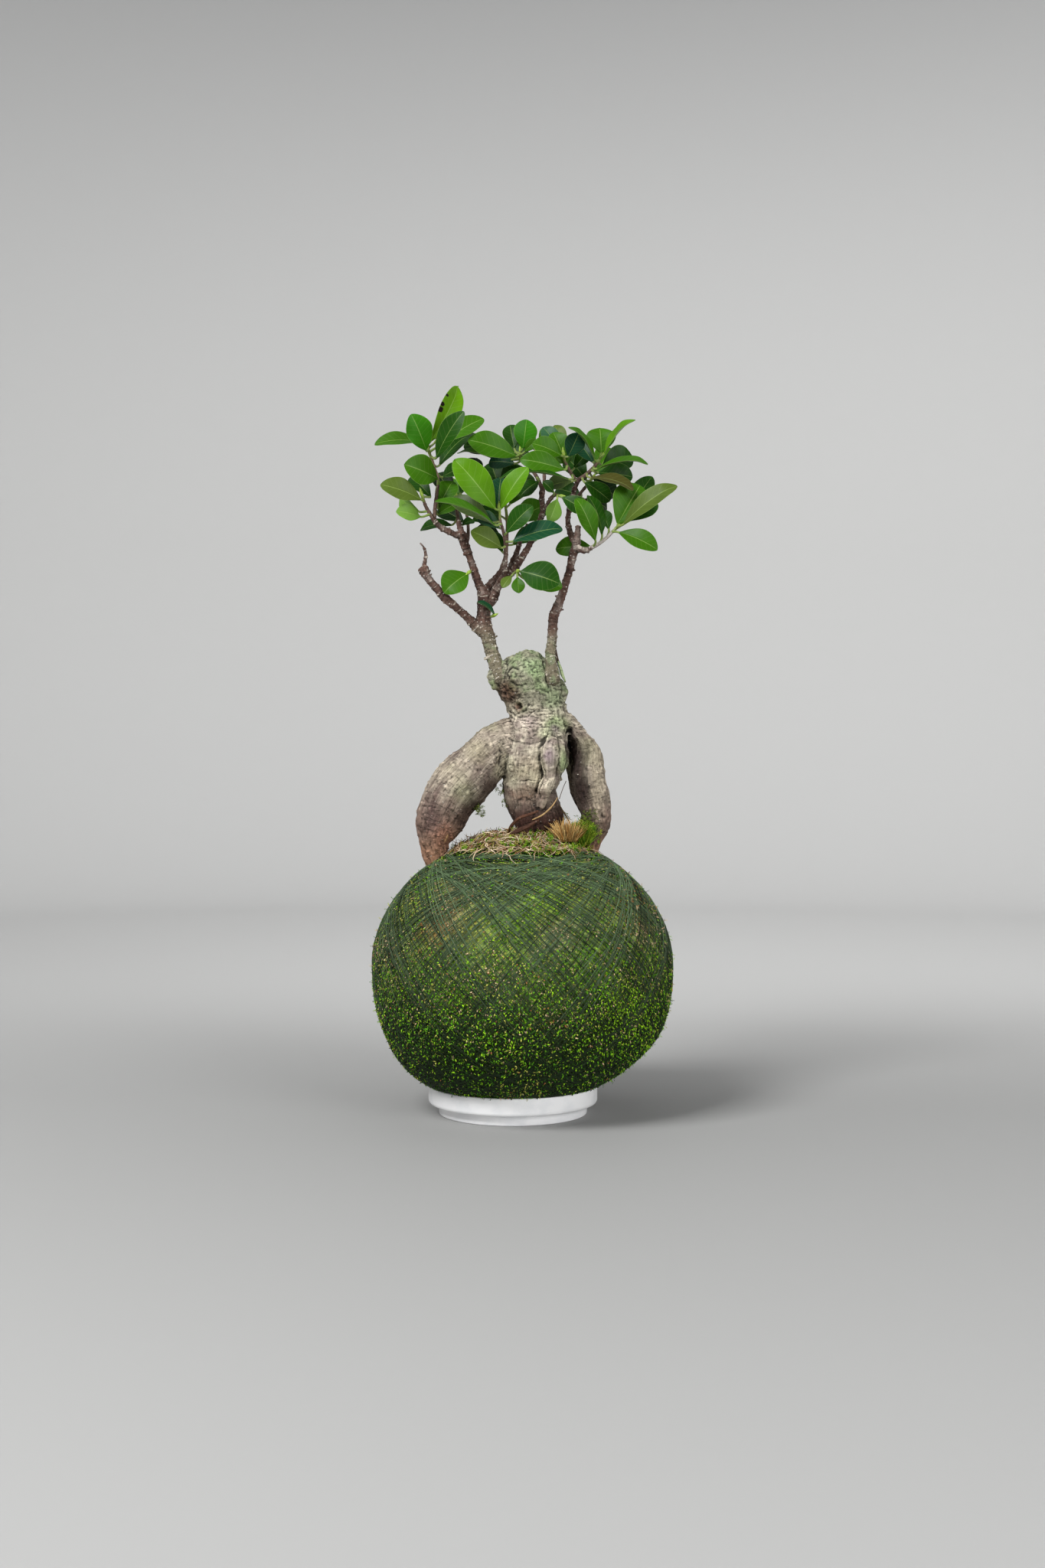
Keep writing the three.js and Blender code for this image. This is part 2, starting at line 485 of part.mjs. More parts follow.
// Every spray is a green shoot with its leaves. A leaf is
// [place along the shoot, base x, z, tip x, z, width, base depth, tip depth, turn].
const SPRAYS = {
  spray_top_left: {
    shoot: [
      [-52.5, 396, -16, 1.4], [-52, 404, -14, 1.3], [-51, 412, -12, 1.2], [-50, 422, -10, 1.1],
      [-53, 432, -9, 1], [-56, 441, -8, 1], [-57, 446, -8, 0.9],
    ],
    leaves: [
      [0.97, -60, 447, -92.5, 446, 15, -9, -13, 44], [0.92, -58, 442, -68, 466, 18, -14, -26, 12],
      [1, -55, 448, -36, 485, 16, -9, 2, -30], [0.84, -51, 437, -33, 468, 14.5, -15, -27, 18],
      [0.9, -46, 447, -19.5, 463, 15, -7, 0, 22], [0.72, -49, 432, -30, 452, 14, 3, 16, 30],
      [0.95, -51, 449, -38, 474, 13, 6, 20, 10], [0.8, -46, 440, -24, 453.5, 12, 14, 28, 45],
      [0.46, -50.5, 423, -72.5, 432.5, 20, -15, -30, 10], [0.3, -49.5, 403, -40, 421.5, 15, -7, 0, 12],
      [0.6, -47, 424, -33, 430, 12, -5, 0, 25], [0.16, -50, 399, -38, 406, 9, -11, -4, 15],
    ],
  },
  spray_left: {
    shoot: [[-53.5, 396.5, -17, 1.4], [-58, 404, -18, 1.2], [-60.5, 411, -19, 1]],
    leaves: [
      [0.8, -61.5, 409, -88.5, 419, 16, -22, -31, 24], [1, -55, 411, -68.5, 424.5, 12, -17, -6, 12],
      [0.35, -63, 401, -76, 412, 14, -17, -8, -48], [0.2, -62, 397.5, -78, 401, 12, -22, -31, 20],
    ],
  },
  spray_upper_left: {
    shoot: [[-36.2, 392, -6, 1.5], [-36.6, 396, -4, 1.3], [-37.5, 402, 0, 1.2], [-38, 410, 5, 1]],
    leaves: [
      [0.25, -41, 392, -62, 389, 12, 2, 8, 45], [0.2, -34, 392, -26, 395, 7, 0, 5, 30],
      [1, -35, 413, -24, 437, 16, 10, 24, 5], [0.9, -41, 411, -50, 427, 14, 12, 24, 5],
    ],
  },
  leaf_low_left: {
    shoot: [[-26.5, 363, -5, 1.1], [-28.5, 361, -7, 0.9]],
    leaves: [[1, -30, 359.5, -46, 347, 19, -8, -14, 18]],
  },
  leaf_small_left: {
    shoot: [[-18, 330, -3, 0.9], [-14, 331, -6, 0.8]],
    leaves: [[1, -12, 332, -23.5, 341, 8, -7, -10, 62]],
  },
  spray_front: {
    shoot: [
      [-4.8, 372, -16, 1.5], [-5, 380, -19.5, 1.3], [-6.5, 388, -22, 1.1], [-8.5, 395, -24, 1],
      [-9, 402, -25, 0.9],
    ],
    leaves: [
      [1, -12, 403, -39, 436, 21, -29, -38, 10], [1, -8, 403, 10, 430.5, 15, -26, -31, 25],
      [0.7, -12, 392, -52, 408, 16, -31, -44, 66], [0.75, -15, 394, -42, 410, 14, -20, -14, 20],
      [0.45, -4, 387, 13, 405, 14, -24, -30, 15], [0.2, -8, 377, -28, 388, 14, -23, -30, 15],
      [0.6, -9, 390, -23, 399, 11, -19, -10, 10], [0.3, 0, 381, 33, 390, 16, -24, -27, 32],
      [0.95, -10, 405, -8, 424, 12, -20, -10, 5], [0.15, -7, 374, -14, 387, 9, -8, -1, 10],
    ],
  },
  spray_front_low: {
    shoot: [[0, 362, -9, 1.3], [2, 361, -14, 1.1], [3, 361, -18, 1]],
    leaves: [
      [1, 5, 361, 31, 353, 21, -21, -29, 12], [0.55, 8, 356, 33, 350.5, 14, -11.5, -12, 15],
      [0.95, 3, 357, 4, 346.5, 9, -20, -22, 0], [0.6, -1, 358, -7, 350, 7, -16, -19, 20],
    ],
  },
  spray_top: {
    shoot: [
      [19.5, 416, 0, 1.5], [17, 422, 1, 1.3], [14, 427, 2, 1.2], [9.5, 432, 3, 1.1], [5, 437, 4, 1],
      [5, 441, 4, 0.9],
    ],
    leaves: [
      [0.95, 2, 438, -30, 449, 18, 0, -8, 14], [1, 6.5, 443, 9, 462.5, 16, 1, -2, 8],
      [0.9, 1, 443, -2, 459, 12, 11, 18, 5], [0.92, 8, 441, 16, 449, 7, 0, -3, 10],
      [0.8, 1, 433, -16, 434, 14, 9, 16, 20], [0.85, -10, 435, -37, 441, 12, 17, 24, 62],
      [0.97, -5, 441, -33, 445, 14, 20, 30, 15], [0.3, 17, 421, 5, 411.5, 12.5, -3, -6, 25],
      [0.55, 9, 429, -8, 424, 14, 12, 20, 15],
    ],
  },
  spray_top_right: {
    shoot: [
      [43, 420.5, 5.5, 1.5], [40.5, 424, 4, 1.3], [38.5, 427, 3, 1.2], [36.5, 431, 2, 1.1],
      [34.5, 435, 1, 1], [34, 438, 0, 0.9],
    ],
    leaves: [
      [1, 32, 438.5, 13, 446.5, 15, -4, -10, 20], [0.8, 35.5, 432, 26.8, 454, 16, 4, 7, 8],
      [0.65, 34, 429, 5, 436, 15, -7, -14, 10], [0.3, 37.5, 422.5, -9, 425, 12, -13, -21, 66],
      [1, 32, 441, 20, 457.5, 12, 11, 16, 10], [1, 34, 442, 28, 459, 11, 17, 22, 0],
      [0.97, 37, 438, 44, 453.5, 14, 0, -4, -10], [0.45, 41, 430, 50, 440, 10, 19, 24, 10],
      [0.1, 39, 421, 22.5, 417, 12, -1, -3, 30],
    ],
  },
  spray_right_top: {
    shoot: [
      [44.5, 422.5, 6.5, 1.5], [48, 425, 6.5, 1.4], [52, 428.5, 6, 1.3], [56, 433, 5, 1.1],
      [58.5, 437, 4, 1],
    ],
    leaves: [
      [0.9, 55, 435.5, 38, 458, 15, -5, -12, 70], [0.8, 53.5, 434, 44, 447, 12, 11, 17, 5],
      [1, 59, 440, 58, 457, 20, 2, 4, 5], [1, 61, 439.5, 81, 463, 16, -2, -8, 70],
      [0.6, 56, 429.5, 90, 434, 15, -7, -16, 66], [0.85, 60, 432, 80, 438, 19, 11, 17, 12],
      [0.5, 57, 427, 80, 424, 15, -2, 3, 8], [0.3, 52, 423.5, 80.5, 416, 14, -9, -20, 50],
      [0.1, 48, 420.5, 65, 408, 13, 2, 6, 10], [0.4, 54, 423, 68, 411, 14, 16, 26, 10],
    ],
  },
  spray_mid_right: {
    shoot: [[24.5, 409, -7, 1.4], [28, 412, -9.5, 1.2], [31, 411.5, -11, 1]],
    leaves: [
      [1, 33, 410.5, 50, 400, 12, -13, -17, 10], [0.8, 29.5, 409, 24, 394, 11, -14, -18, -20],
      [0.5, 27, 414, 20, 421, 8, -14, -19, 20],
    ],
  },
  spray_right: {
    shoot: [
      [51.5, 376.5, -9.5, 1.6], [57, 379.3, -12, 1.3], [62, 383, -13, 1.2], [66, 387, -14, 1.1],
      [70, 391, -15, 1],
    ],
    leaves: [
      [1, 70, 392.5, 85, 418.5, 25, -16, -9, 4], [1, 74, 392.5, 109, 419, 15, -22, -34, 32],
      [0.95, 75, 397, 93, 424.5, 14, -7, 1, 8], [0.9, 78, 395, 97, 406, 11, -12, -10, 10],
      [0.6, 64, 389.5, 59, 402, 10, -11, -8, 15], [0.12, 55, 382, 42.5, 410, 14, -18, -26, 20],
      [0.35, 59.5, 385.5, 50, 412, 13, -13, -11, 45], [0.8, 71, 387, 96.5, 375.5, 15, -20, -29, 22],
      [0.05, 52, 377.5, 28.5, 376, 14, 1, 9, 12],
    ],
  },
  spray_back_left: {
    shoot: [
      [-31.5, 378, -7, 1.6], [-30, 385, 5, 1.3], [-30, 392, 14, 1.1], [-31, 400, 24, 1],
      [-32, 405, 30, 0.9],
    ],
    leaves: [
      [1, -30, 407, -16, 427, 16, 33, 44, 0], [1, -34, 406, -48, 421, 16, 34, 45, 5],
      [0.6, -27, 395, -10, 399, 15, 20, 32, 15], [0.6, -33, 394, -50, 403, 14, 20, 33, 15],
    ],
  },
  spray_back_middle: {
    shoot: [
      [-8, 361, 14, 1.8], [-5, 371, 25, 1.4], [-4, 384, 34, 1.2], [-4, 396, 40, 1.1], [-5, 405, 44, 1],
    ],
    leaves: [
      [1, -6, 408, -15, 434, 20, 46, 56, 0], [0.97, -2, 406, 11, 427, 18, 47, 58, 5],
      [0.8, -8, 398, -32, 411, 18, 45, 57, 12], [0.75, 0, 394, 22, 405, 18, 43, 55, 12],
      [0.5, -8, 383, -26, 388, 15, 38, 50, 20], [0.45, 0, 379, 17, 387, 14, 36, 48, 20],
    ],
  },
  spray_back_right: {
    shoot: [
      [37.8, 402, 2, 1.5], [40, 407, 12, 1.3], [44, 412, 22, 1.2], [49, 418, 32, 1.1], [53, 423, 39, 1],
    ],
    leaves: [
      [1, 55, 426, 67, 443, 18, 42, 52, 5], [0.95, 49, 422, 36, 437, 16, 42, 52, 5],
      [0.9, 56, 420, 77, 426, 16, 39, 50, 15], [0.6, 45, 411, 29, 416, 15, 32, 44, 20],
      [0.5, 48, 409, 63, 403, 14, 28, 40, 20],
    ],
  },
  spray_back_top: {
    shoot: [
      [19.2, 408, -1.5, 1.3], [20.3, 415, 5.5, 1.3], [21, 424, 10, 1.2], [20, 430, 17, 1.1],
      [18, 436, 25, 1], [16.5, 440, 30, 0.9],
    ],
    leaves: [
      [1, 14.5, 442.5, 3, 457, 16, 33, 43, 5], [1, 18, 443, 28, 455, 15, 34, 44, 5],
      [0.85, 13, 436, -9, 442, 16, 32, 44, 15], [0.7, 21, 433, 39, 440, 15, 26, 38, 15],
    ],
  },
};

function spray({ shoot, leaves }) {
  const stem = limb(shoot, { sides: LIMB_SIDES.shoot });
  const curve = new THREE.CatmullRomCurve3(shoot.map(([x, z, y]) => seen(x, z, y)));
  const solids = leaves.map(([place, x0, z0, x1, z1, width, y0, y1, turn]) => (
    leaf(curve.getPointAt(place), seen(x0, z0, y0), seen(x1, z1, y1), width, turn)));
  return fuse([stem, ...solids]);
}

// ---------------------------------------------------------------- the whole plant

const plant = new THREE.Group();

const trunkRoom = trunk(GAP);
const leftRoom = branch(LEFT_BRANCH, GAP);
const rightRoom = branch(RIGHT_BRANCH, GAP);
const bark = finish(COLOUR.trunk, 0.8);
const wood = finish(COLOUR.branch, 0.8);
const leafGreen = finish(COLOUR.leaf, 0.4);

plant.add(meshOf('saucer', saucer(), finish(COLOUR.saucer, 0.35)));
plant.add(meshOf('soil_core', soil().subtract(trunkRoom), finish(COLOUR.soil, 1)));
plant.add(meshOf('moss_jacket', jacket().subtract(trunkRoom), finish(COLOUR.moss, 0.95)));
plant.add(meshOf('moss_dressing', mound().subtract(trunkRoom), finish(COLOUR.dryMoss, 0.95)));
plant.add(meshOf('binding_thread', bindingThread().subtract(trunkRoom), finish(COLOUR.thread, 0.6)));
plant.add(meshOf('trunk', trunk(), bark));
plant.add(meshOf('branch_left', branch(LEFT_BRANCH).subtract(trunkRoom), wood));
plant.add(meshOf('branch_right', branch(RIGHT_BRANCH).subtract(trunkRoom), wood));

const TUFTS = {
  tuft_rust: {
    x: 36.8, z: 182.8, y: -26, radius: 5.5,
    spikes: 12, reach: 12, lean: 0.8, colour: COLOUR.rust,
  },
  tuft_green: {
    x: 51.5, z: 180.5, y: -16, radius: 5.5,
    spikes: 14, reach: 14, lean: 0.7, colour: COLOUR.tuft,
  },
};
const moundRoom = mound().translate([0, 0, GAP]);
for (const [name, shape] of Object.entries(TUFTS)) {
  const solid = tuft(shape).subtract(trunkRoom).subtract(moundRoom);
  plant.add(meshOf(name, solid, finish(shape.colour, 0.9)));
}

for (const [name, parts] of Object.entries(SPRAYS)) {
  plant.add(meshOf(name, spray(parts).subtract(leftRoom).subtract(rightRoom), leafGreen));
}

export default plant;
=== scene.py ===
"""A kokedama: a grafted ginseng ficus whose swollen roots stand in a thread-bound moss ball.

The plant's solids come in as a fixed frame. Each one that shows is replaced by a fine
surface worked out here from the same sizes, and the soil inside keeps its solid. Tables are
in millimetres, +Z up, with the origin under the middle of the saucer and the front towards
-Y. Meshes are in metres.
"""

import logging
import math
from collections.abc import Iterator, Sequence
from dataclasses import dataclass, field
from enum import Enum
from itertools import product

import bpy
import numpy as np
from bpy.types import Material
from bpy.types import NodeSocket as Socket
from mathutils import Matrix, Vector
from numpy import ndarray as Array
from numpy.random import Generator


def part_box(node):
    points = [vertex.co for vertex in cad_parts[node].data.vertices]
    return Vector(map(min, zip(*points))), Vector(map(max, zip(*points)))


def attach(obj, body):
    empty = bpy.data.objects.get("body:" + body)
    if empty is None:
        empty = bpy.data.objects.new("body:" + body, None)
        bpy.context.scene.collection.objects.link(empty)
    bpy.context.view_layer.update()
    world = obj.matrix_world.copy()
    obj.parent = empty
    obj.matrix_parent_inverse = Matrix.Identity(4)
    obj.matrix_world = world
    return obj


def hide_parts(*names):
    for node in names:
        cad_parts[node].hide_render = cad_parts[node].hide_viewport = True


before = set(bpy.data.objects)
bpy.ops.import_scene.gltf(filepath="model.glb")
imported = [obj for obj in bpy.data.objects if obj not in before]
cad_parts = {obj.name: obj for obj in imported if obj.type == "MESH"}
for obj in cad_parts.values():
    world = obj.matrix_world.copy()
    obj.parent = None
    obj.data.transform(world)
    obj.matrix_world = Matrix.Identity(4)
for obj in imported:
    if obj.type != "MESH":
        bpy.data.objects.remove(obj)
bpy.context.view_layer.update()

LOG = logging.getLogger("kokedama")

MM = 0.001  # metres in a millimetre
BODY = "root"
UP = np.array([0.0, 0.0, 1.0])
BACK = np.array([0.0, 1.0, 0.0])
EYE = np.array([6.4, -1147.3, 219.0])  # from here the outlines in the tables were read
DOME = 0.45  # how far a limb's end stands out, as a share of its radius
SLIVER = 6  # points of a moss leaflet

Rows = Sequence[tuple[float, ...]]
Hues = Array | str  # linear colours, or the display colour of them all


# ------------------------------------------------------------------ arrays


def colour(code: str) -> Array:
    """The linear colour of a display colour.

    Args:
        code: Six hexadecimal digits.

    Returns:
        Red, green and blue from 0 to 1.
    """
    value = np.array([int(code[i : i + 2], 16) for i in (0, 2, 4)]) / 255
    return np.where(value < 0.04045, value / 12.92, ((value + 0.055) / 1.055) ** 2.4)


def unit(vectors: Array) -> Array:
    """The vectors along the last axis, each divided by its length."""
    return vectors / np.maximum(np.linalg.norm(vectors, axis=-1, keepdims=True), 1e-12)


def ease(low: float, high: float, value: Array) -> Array:
    """A smooth step from 0 at `low` to 1 at `high`: t * t * (3 - 2 t) of the clipped share."""
    part = np.clip((value - low) / (high - low), 0, 1)
    return part * part * (3 - 2 * part)


def blend(first: Hues, second: Hues, share: Array) -> Array:
    """Rows of `first` carried towards `second` by a share for each row."""
    first, second = (colour(v) if isinstance(v, str) else v for v in (first, second))
    return first + (second - first) * np.asarray(share)[..., None]


def palette(*codes: str) -> Array:
    """The linear colours of display colours, one a row."""
    return np.stack([colour(code) for code in codes])


def seen(x: Array, z: Array, depth: Array) -> Array:
    """Places whose outline was read in the plane y = 0, carried to their real depth.

    A place slides along its sight line: its offset from the eye's axis grows by
    (depth - eye) / -eye.

    Args:
        x: Readings across.
        z: Readings up.
        depth: Real depths.

    Returns:
        Points, one row for each reading.
    """
    x, z, depth = np.broadcast_arrays(*(np.asarray(v, float) for v in (x, z, depth)))
    spread = (depth - EYE[1]) / -EYE[1]
    across = EYE[0] + (x - EYE[0]) * spread
    return np.stack([across, depth, EYE[2] + (z - EYE[2]) * spread], axis=-1)


def fronted(points: Array) -> Array:
    """The reverse of `seen`: where points appear in the plane y = 0, as rows of x and z."""
    spread = (points[:, 1:2] - EYE[1]) / -EYE[1]
    return EYE[[0, 2]] + (points[:, [0, 2]] - EYE[[0, 2]]) / spread


class Noise:
    """Seeded gradient noise.

    A random direction stands at each corner of a unit lattice. The value between corners
    blends their dot products with the quintic 6 t^5 - 15 t^4 + 10 t^3.
    """

    def __init__(self, seed: int) -> None:
        """Draws the lattice's directions.

        Args:
            seed: What the draw starts from.
        """
        rng = np.random.default_rng(seed)
        self.order = rng.permutation(256)
        self.ways = unit(rng.normal(size=(256, 3)))

    def at(self, places: Array) -> Array:
        """Values from about -1 to 1.

        Args:
            places: Points in lattice units, one a row.

        Returns:
            A value for each point.
        """
        cell = np.floor(places).astype(int)
        part = places - cell
        eased = part**3 * (part * (part * 6 - 15) + 10)
        total = np.zeros(len(places))
        for corner in product((0, 1), repeat=3):
            key = cell + corner
            slot = self.order[key[:, 0] & 255] + key[:, 1]
            slot = self.order[(self.order[slot & 255] + key[:, 2]) & 255]
            dot = ((part - corner) * self.ways[slot]).sum(1)
            total += dot * np.prod(np.where(corner, eased, 1 - eased), axis=1)
        return total * 1.7

    def layered(self, places: Array, size: float, layers: int = 3) -> Array:
        """Noise of a size with finer layers over it, each half as large and half as strong.

        Args:
            places: Points in millimetres.
            size: Millimetres from lump to lump.
            layers: How many sizes are added.

        Returns:
            A value from about -1 to 1 for each point.
        """
        steps = [self.at(places / size * 2**k + 17.3 * k) / 2**k for k in range(layers)]
        return np.sum(steps, axis=0) / (2 - 2.0 ** (1 - layers))


def travelled(points: Array) -> Array:
    """Distance gone along a line at each of its points."""
    return np.concatenate([[0], np.cumsum(np.linalg.norm(np.diff(points, axis=0), axis=1))])


def smooth_curve(knots: Array, per_span: int) -> Array:
    """The centripetal Catmull-Rom curve through knots.

    Spans are timed by the square root of their length. Columns after the third, such as a
    radius, are carried along the same way.

    Args:
        knots: Rows of x, y, z and any further columns.
        per_span: Steps from one knot to the next.

    Returns:
        Rows along the curve, ends included.
    """
    first, last = 2 * knots[0] - knots[1], 2 * knots[-1] - knots[-2]
    rows = np.vstack([first, knots, last])
    gaps = np.linalg.norm(np.diff(rows[:, :3], axis=0), axis=1) ** 0.5
    count = len(knots) - 1
    share = np.linspace(0, count, count * per_span + 1)
    i = np.minimum(share.astype(int), count - 1)
    w = (share - i)[:, None]
    before, here, after = (gaps[i + k][:, None] for k in range(3))
    a, b, c, d = (rows[i + k] for k in range(4))
    leave = ((b - a) / before - (c - a) / (before + here) + (c - b) / here) * here
    reach = ((c - b) / here - (d - b) / (here + after) + (d - c) / after) * here
    cubic = 2 * b - 2 * c + leave + reach
    return b + leave * w + (-3 * b + 3 * c - 2 * leave - reach) * w**2 + cubic * w**3


def course(rows: Rows, per_span: int) -> Array:
    """The smooth curve of a limb, as rows of x, y, z and radius.

    Args:
        rows: Rows of x, z, depth and radius, as seen from the front.
        per_span: Steps from row to row.

    Returns:
        Rows along the curve.
    """
    x, z, depth, radius = np.array(rows, float).T
    return smooth_curve(np.column_stack([seen(x, z, depth), radius]), per_span)


# ------------------------------------------------------------------ shapes


def ring_faces(rings: int, sides: int, closed: bool = False) -> list[Array]:
    """The outward faces of a tube whose points stand ring by ring, then at its two poles.

    Args:
        rings: How many rings there are.
        sides: Points round a ring.
        closed: True where the last ring is joined to the first, and there are no poles.

    Returns:
        The quads between the rings and, unless closed, the triangles at the poles.
    """
    i, k = np.arange(sides), np.arange(rings if closed else rings - 1)[:, None]
    j, after = (i + 1) % sides, (k + 1) % rings
    corners = (k * sides + i, k * sides + j, after * sides + j, after * sides + i)
    quads = np.stack(corners, axis=-1).reshape(-1, 4)
    if closed:
        return [quads]
    far, pole = (rings - 1) * sides, np.full(sides, rings * sides)
    first = np.stack([pole, j, i], axis=-1)
    last = np.stack([pole + 1, far + i, far + j], axis=-1)
    return [quads, np.vstack([first, last])]


@dataclass
class Shape:
    """Closed bodies as points and faces.

    Attributes:
        points: Rows of x, y, z in millimetres.
        faces: Arrays of corner numbers, three or four to a row.
        tint: A linear colour for each point.
        place: For each point, how far along and across its own surface it lies.
        flow: For each point, coordinates that run along the limb it belongs to.
    """

    points: Array
    faces: list[Array]
    tint: Array | None = None
    place: Array | None = None
    flow: Array | None = None

    @staticmethod
    def of_many(points: Array, faces: Sequence[Array]) -> "Shape":
        """Bodies of one make: `points` as (bodies, points, 3) and the faces of the first."""
        starts = np.arange(len(points))[:, None, None] * points.shape[1]
        faces = [(face + starts).reshape(-1, face.shape[1]) for face in faces]
        return Shape(points.reshape(-1, 3), faces)

    @staticmethod
    def joined(shapes: Sequence["Shape"]) -> "Shape":
        """One shape that holds all the bodies of several.

        Args:
            shapes: Shapes. What only some of them carry is dropped.

        Returns:
            The joined shape.
        """
        starts = np.cumsum([0] + [len(s.points) for s in shapes[:-1]])
        faces = [face + start for s, start in zip(shapes, starts) for face in s.faces]
        stacked = {}
        for name in ("tint", "place", "flow"):
            values = [getattr(s, name) for s in shapes]
            stacked[name] = None if any(v is None for v in values) else np.vstack(values)
        return Shape(np.vstack([s.points for s in shapes]), faces, **stacked)

    def tinted(self, value: Array) -> "Shape":
        """The shape in one colour, or with a colour for each point."""
        self.tint = np.broadcast_to(value, self.points.shape).copy()
        return self

    def mesh(self, name: str) -> bpy.types.Mesh:
        """A mesh of the shape, in metres, with its colours and its surface places.

        Args:
            name: The mesh's name.

        Returns:
            The mesh, smooth-shaded.
        """
        corners = np.concatenate([face.ravel() for face in self.faces]).astype(np.int32)
        sizes = np.concatenate([np.full(len(f), f.shape[1]) for f in self.faces])
        mesh = bpy.data.meshes.new(name)
        mesh.vertices.add(len(self.points))
        mesh.vertices.foreach_set("co", (self.points * MM).astype(np.float32).ravel())
        mesh.loops.add(len(corners))
        mesh.loops.foreach_set("vertex_index", corners)
        mesh.polygons.add(len(sizes))
        starts = np.concatenate([[0], np.cumsum(sizes)[:-1]]).astype(np.int32)
        mesh.polygons.foreach_set("loop_start", starts)
        mesh.polygons.foreach_set("use_smooth", np.ones(len(sizes), bool))
        mesh.update(calc_edges=True)
        if self.tint is not None:
            rgba = np.hstack([self.tint, np.ones((len(self.tint), 1))])
            layer = mesh.color_attributes.new("tint", "FLOAT_COLOR", "POINT")
            layer.data.foreach_set("color", rgba.astype(np.float32).ravel())
        if self.place is not None:
            layer = mesh.uv_layers.new(name="place")
            layer.data.foreach_set("uv", self.place[corners].astype(np.float32).ravel())
        if self.flow is not None:
            layer = mesh.attributes.new("flow", "FLOAT_VECTOR", "POINT")
            layer.data.foreach_set("vector", self.flow.astype(np.float32).ravel())
        return mesh


def tubes(
    paths: Array,
    radii: Array,
    sides: int,
    toward: Array,
    *,
    flat: float = 1.0,
    reach: float = 0.0,
    closed: bool = False,
) -> Shape:
    """Closed tubes, one along each path.

    A ring of points stands round every step, in the plane of `across` (toward x tangent)
    and `back` (tangent x across). The ends close on poles, or the path closes on itself.

    Args:
        paths: Steps of each path, as (tubes, steps, 3).
        radii: Radius at each step, as (tubes, steps) or (tubes, steps, sides).
        sides: Points round a ring.
        toward: The direction that `back` leans to, for all steps or for each.
        flat: Thickness along `back` as a share of that across.
        reach: How far the poles stand out, as a share of the end radius.
        closed: True where a path's last step is followed by its first.

    Returns:
        The tubes as one shape, facing outwards.
    """
    count, steps, _ = paths.shape
    if closed:
        tangent = unit(np.roll(paths, -1, axis=1) - np.roll(paths, 1, axis=1))
    else:
        tangent = unit(np.gradient(paths, axis=1))
    across = unit(np.cross(np.broadcast_to(toward, tangent.shape), tangent))[:, :, None]
    back = np.cross(tangent[:, :, None], across)
    angle = np.arange(sides) * 2 * np.pi / sides
    radius = radii if radii.ndim == 3 else radii[..., None]
    offset = (radius * np.cos(angle))[..., None] * across
    offset = offset + flat * (radius * np.sin(angle))[..., None] * back
    points = (paths[:, :, None] + offset).reshape(count, -1, 3)
    if not closed:
        ends = radius[:, [0, -1]].mean(-1)[..., None] * reach
        first = paths[:, :1] - tangent[:, :1] * ends[:, :1]
        last = paths[:, -1:] + tangent[:, -1:] * ends[:, 1:]
        points = np.concatenate([points, first, last], axis=1)
    return Shape.of_many(points, ring_faces(steps, sides, closed))


def slivers(at: Array, along: Array, face: Array, sizes: Array) -> Shape:
    """Tiny closed leaflets: flat spindles of eight triangles.

    A leaflet runs from `at` a length along its own direction, and four points stand round
    it at 0.45 of its length: two at its edges and two on its faces.

    Args:
        at: Roots, one a row.
        along: Directions from root to tip.
        face: Directions that the flat side looks in.
        sizes: Length, width and thickness of each.

    Returns:
        All the leaflets as one shape.
    """
    along = unit(along)
    up = unit(face - (face * along).sum(1, keepdims=True) * along)
    across = np.cross(up, along)
    length, width, thick = (sizes[:, k, None] for k in range(3))
    middle = at + along * length * 0.45
    ring = (across * width / 2, up * thick / 2, -across * width / 2, -up * thick / 2)
    points = np.stack([at, at + along * length, *(middle + r for r in ring)], axis=1)
    faces = [[0, 3 + k if k < 3 else 2, 2 + k] for k in range(4)]
    faces += [[1, 2 + k, 3 + k if k < 3 else 2] for k in range(4)]
    return Shape.of_many(points, [np.array(faces)])


def turned(profile: Array, sides: int) -> Shape:
    """A surface turned round the Z axis.

    Args:
        profile: Rows of radius and height, from the bottom's middle up the outside to the
            top's middle, both ends on the axis.
        sides: Points round each level.

    Returns:
        The closed shape, with levels in order and then the two poles.
    """
    levels = profile[1:-1]
    angle = np.arange(sides) * 2 * np.pi / sides
    x, y = levels[:, :1] * np.cos(angle), levels[:, :1] * np.sin(angle)
    z = np.broadcast_to(levels[:, 1:], x.shape)
    poles = [[0, 0, profile[0, 1]], [0, 0, profile[-1, 1]]]
    points = np.vstack([np.stack([x, y, z], axis=-1).reshape(-1, 3), poles])
    return Shape(points, ring_faces(len(levels), sides))


def resampled(outline: Rows, step: float, rounding: int = 0) -> Array:
    """An outline with points a step apart.

    Args:
        outline: Corners, one a row.
        step: Millimetres between points.
        rounding: How often each inner point moves half way to the middle of its neighbours.

    Returns:
        The finer outline, with the same ends.
    """
    corners = np.array(outline, float)
    lengths = travelled(corners)
    places = np.linspace(0, lengths[-1], int(lengths[-1] / step) + 2)
    rows = np.stack([np.interp(places, lengths, column) for column in corners.T], axis=1)
    for _ in range(rounding):
        rows[1:-1] += (rows[:-2] + rows[2:] - 2 * rows[1:-1]) / 4
    return rows


def normals_of(points: Array, quads: Array) -> Array:
    """Point normals: the sum of each quad's crossed diagonals over its corners, scaled to 1."""
    a, b, c, d = (points[quads[:, k]] for k in range(4))
    face = np.cross(c - a, d - b)
    owner = quads.T.ravel()
    sums = [np.bincount(owner, np.tile(face[:, k], 4), len(points)) for k in range(3)]
    return unit(np.stack(sums, axis=1))


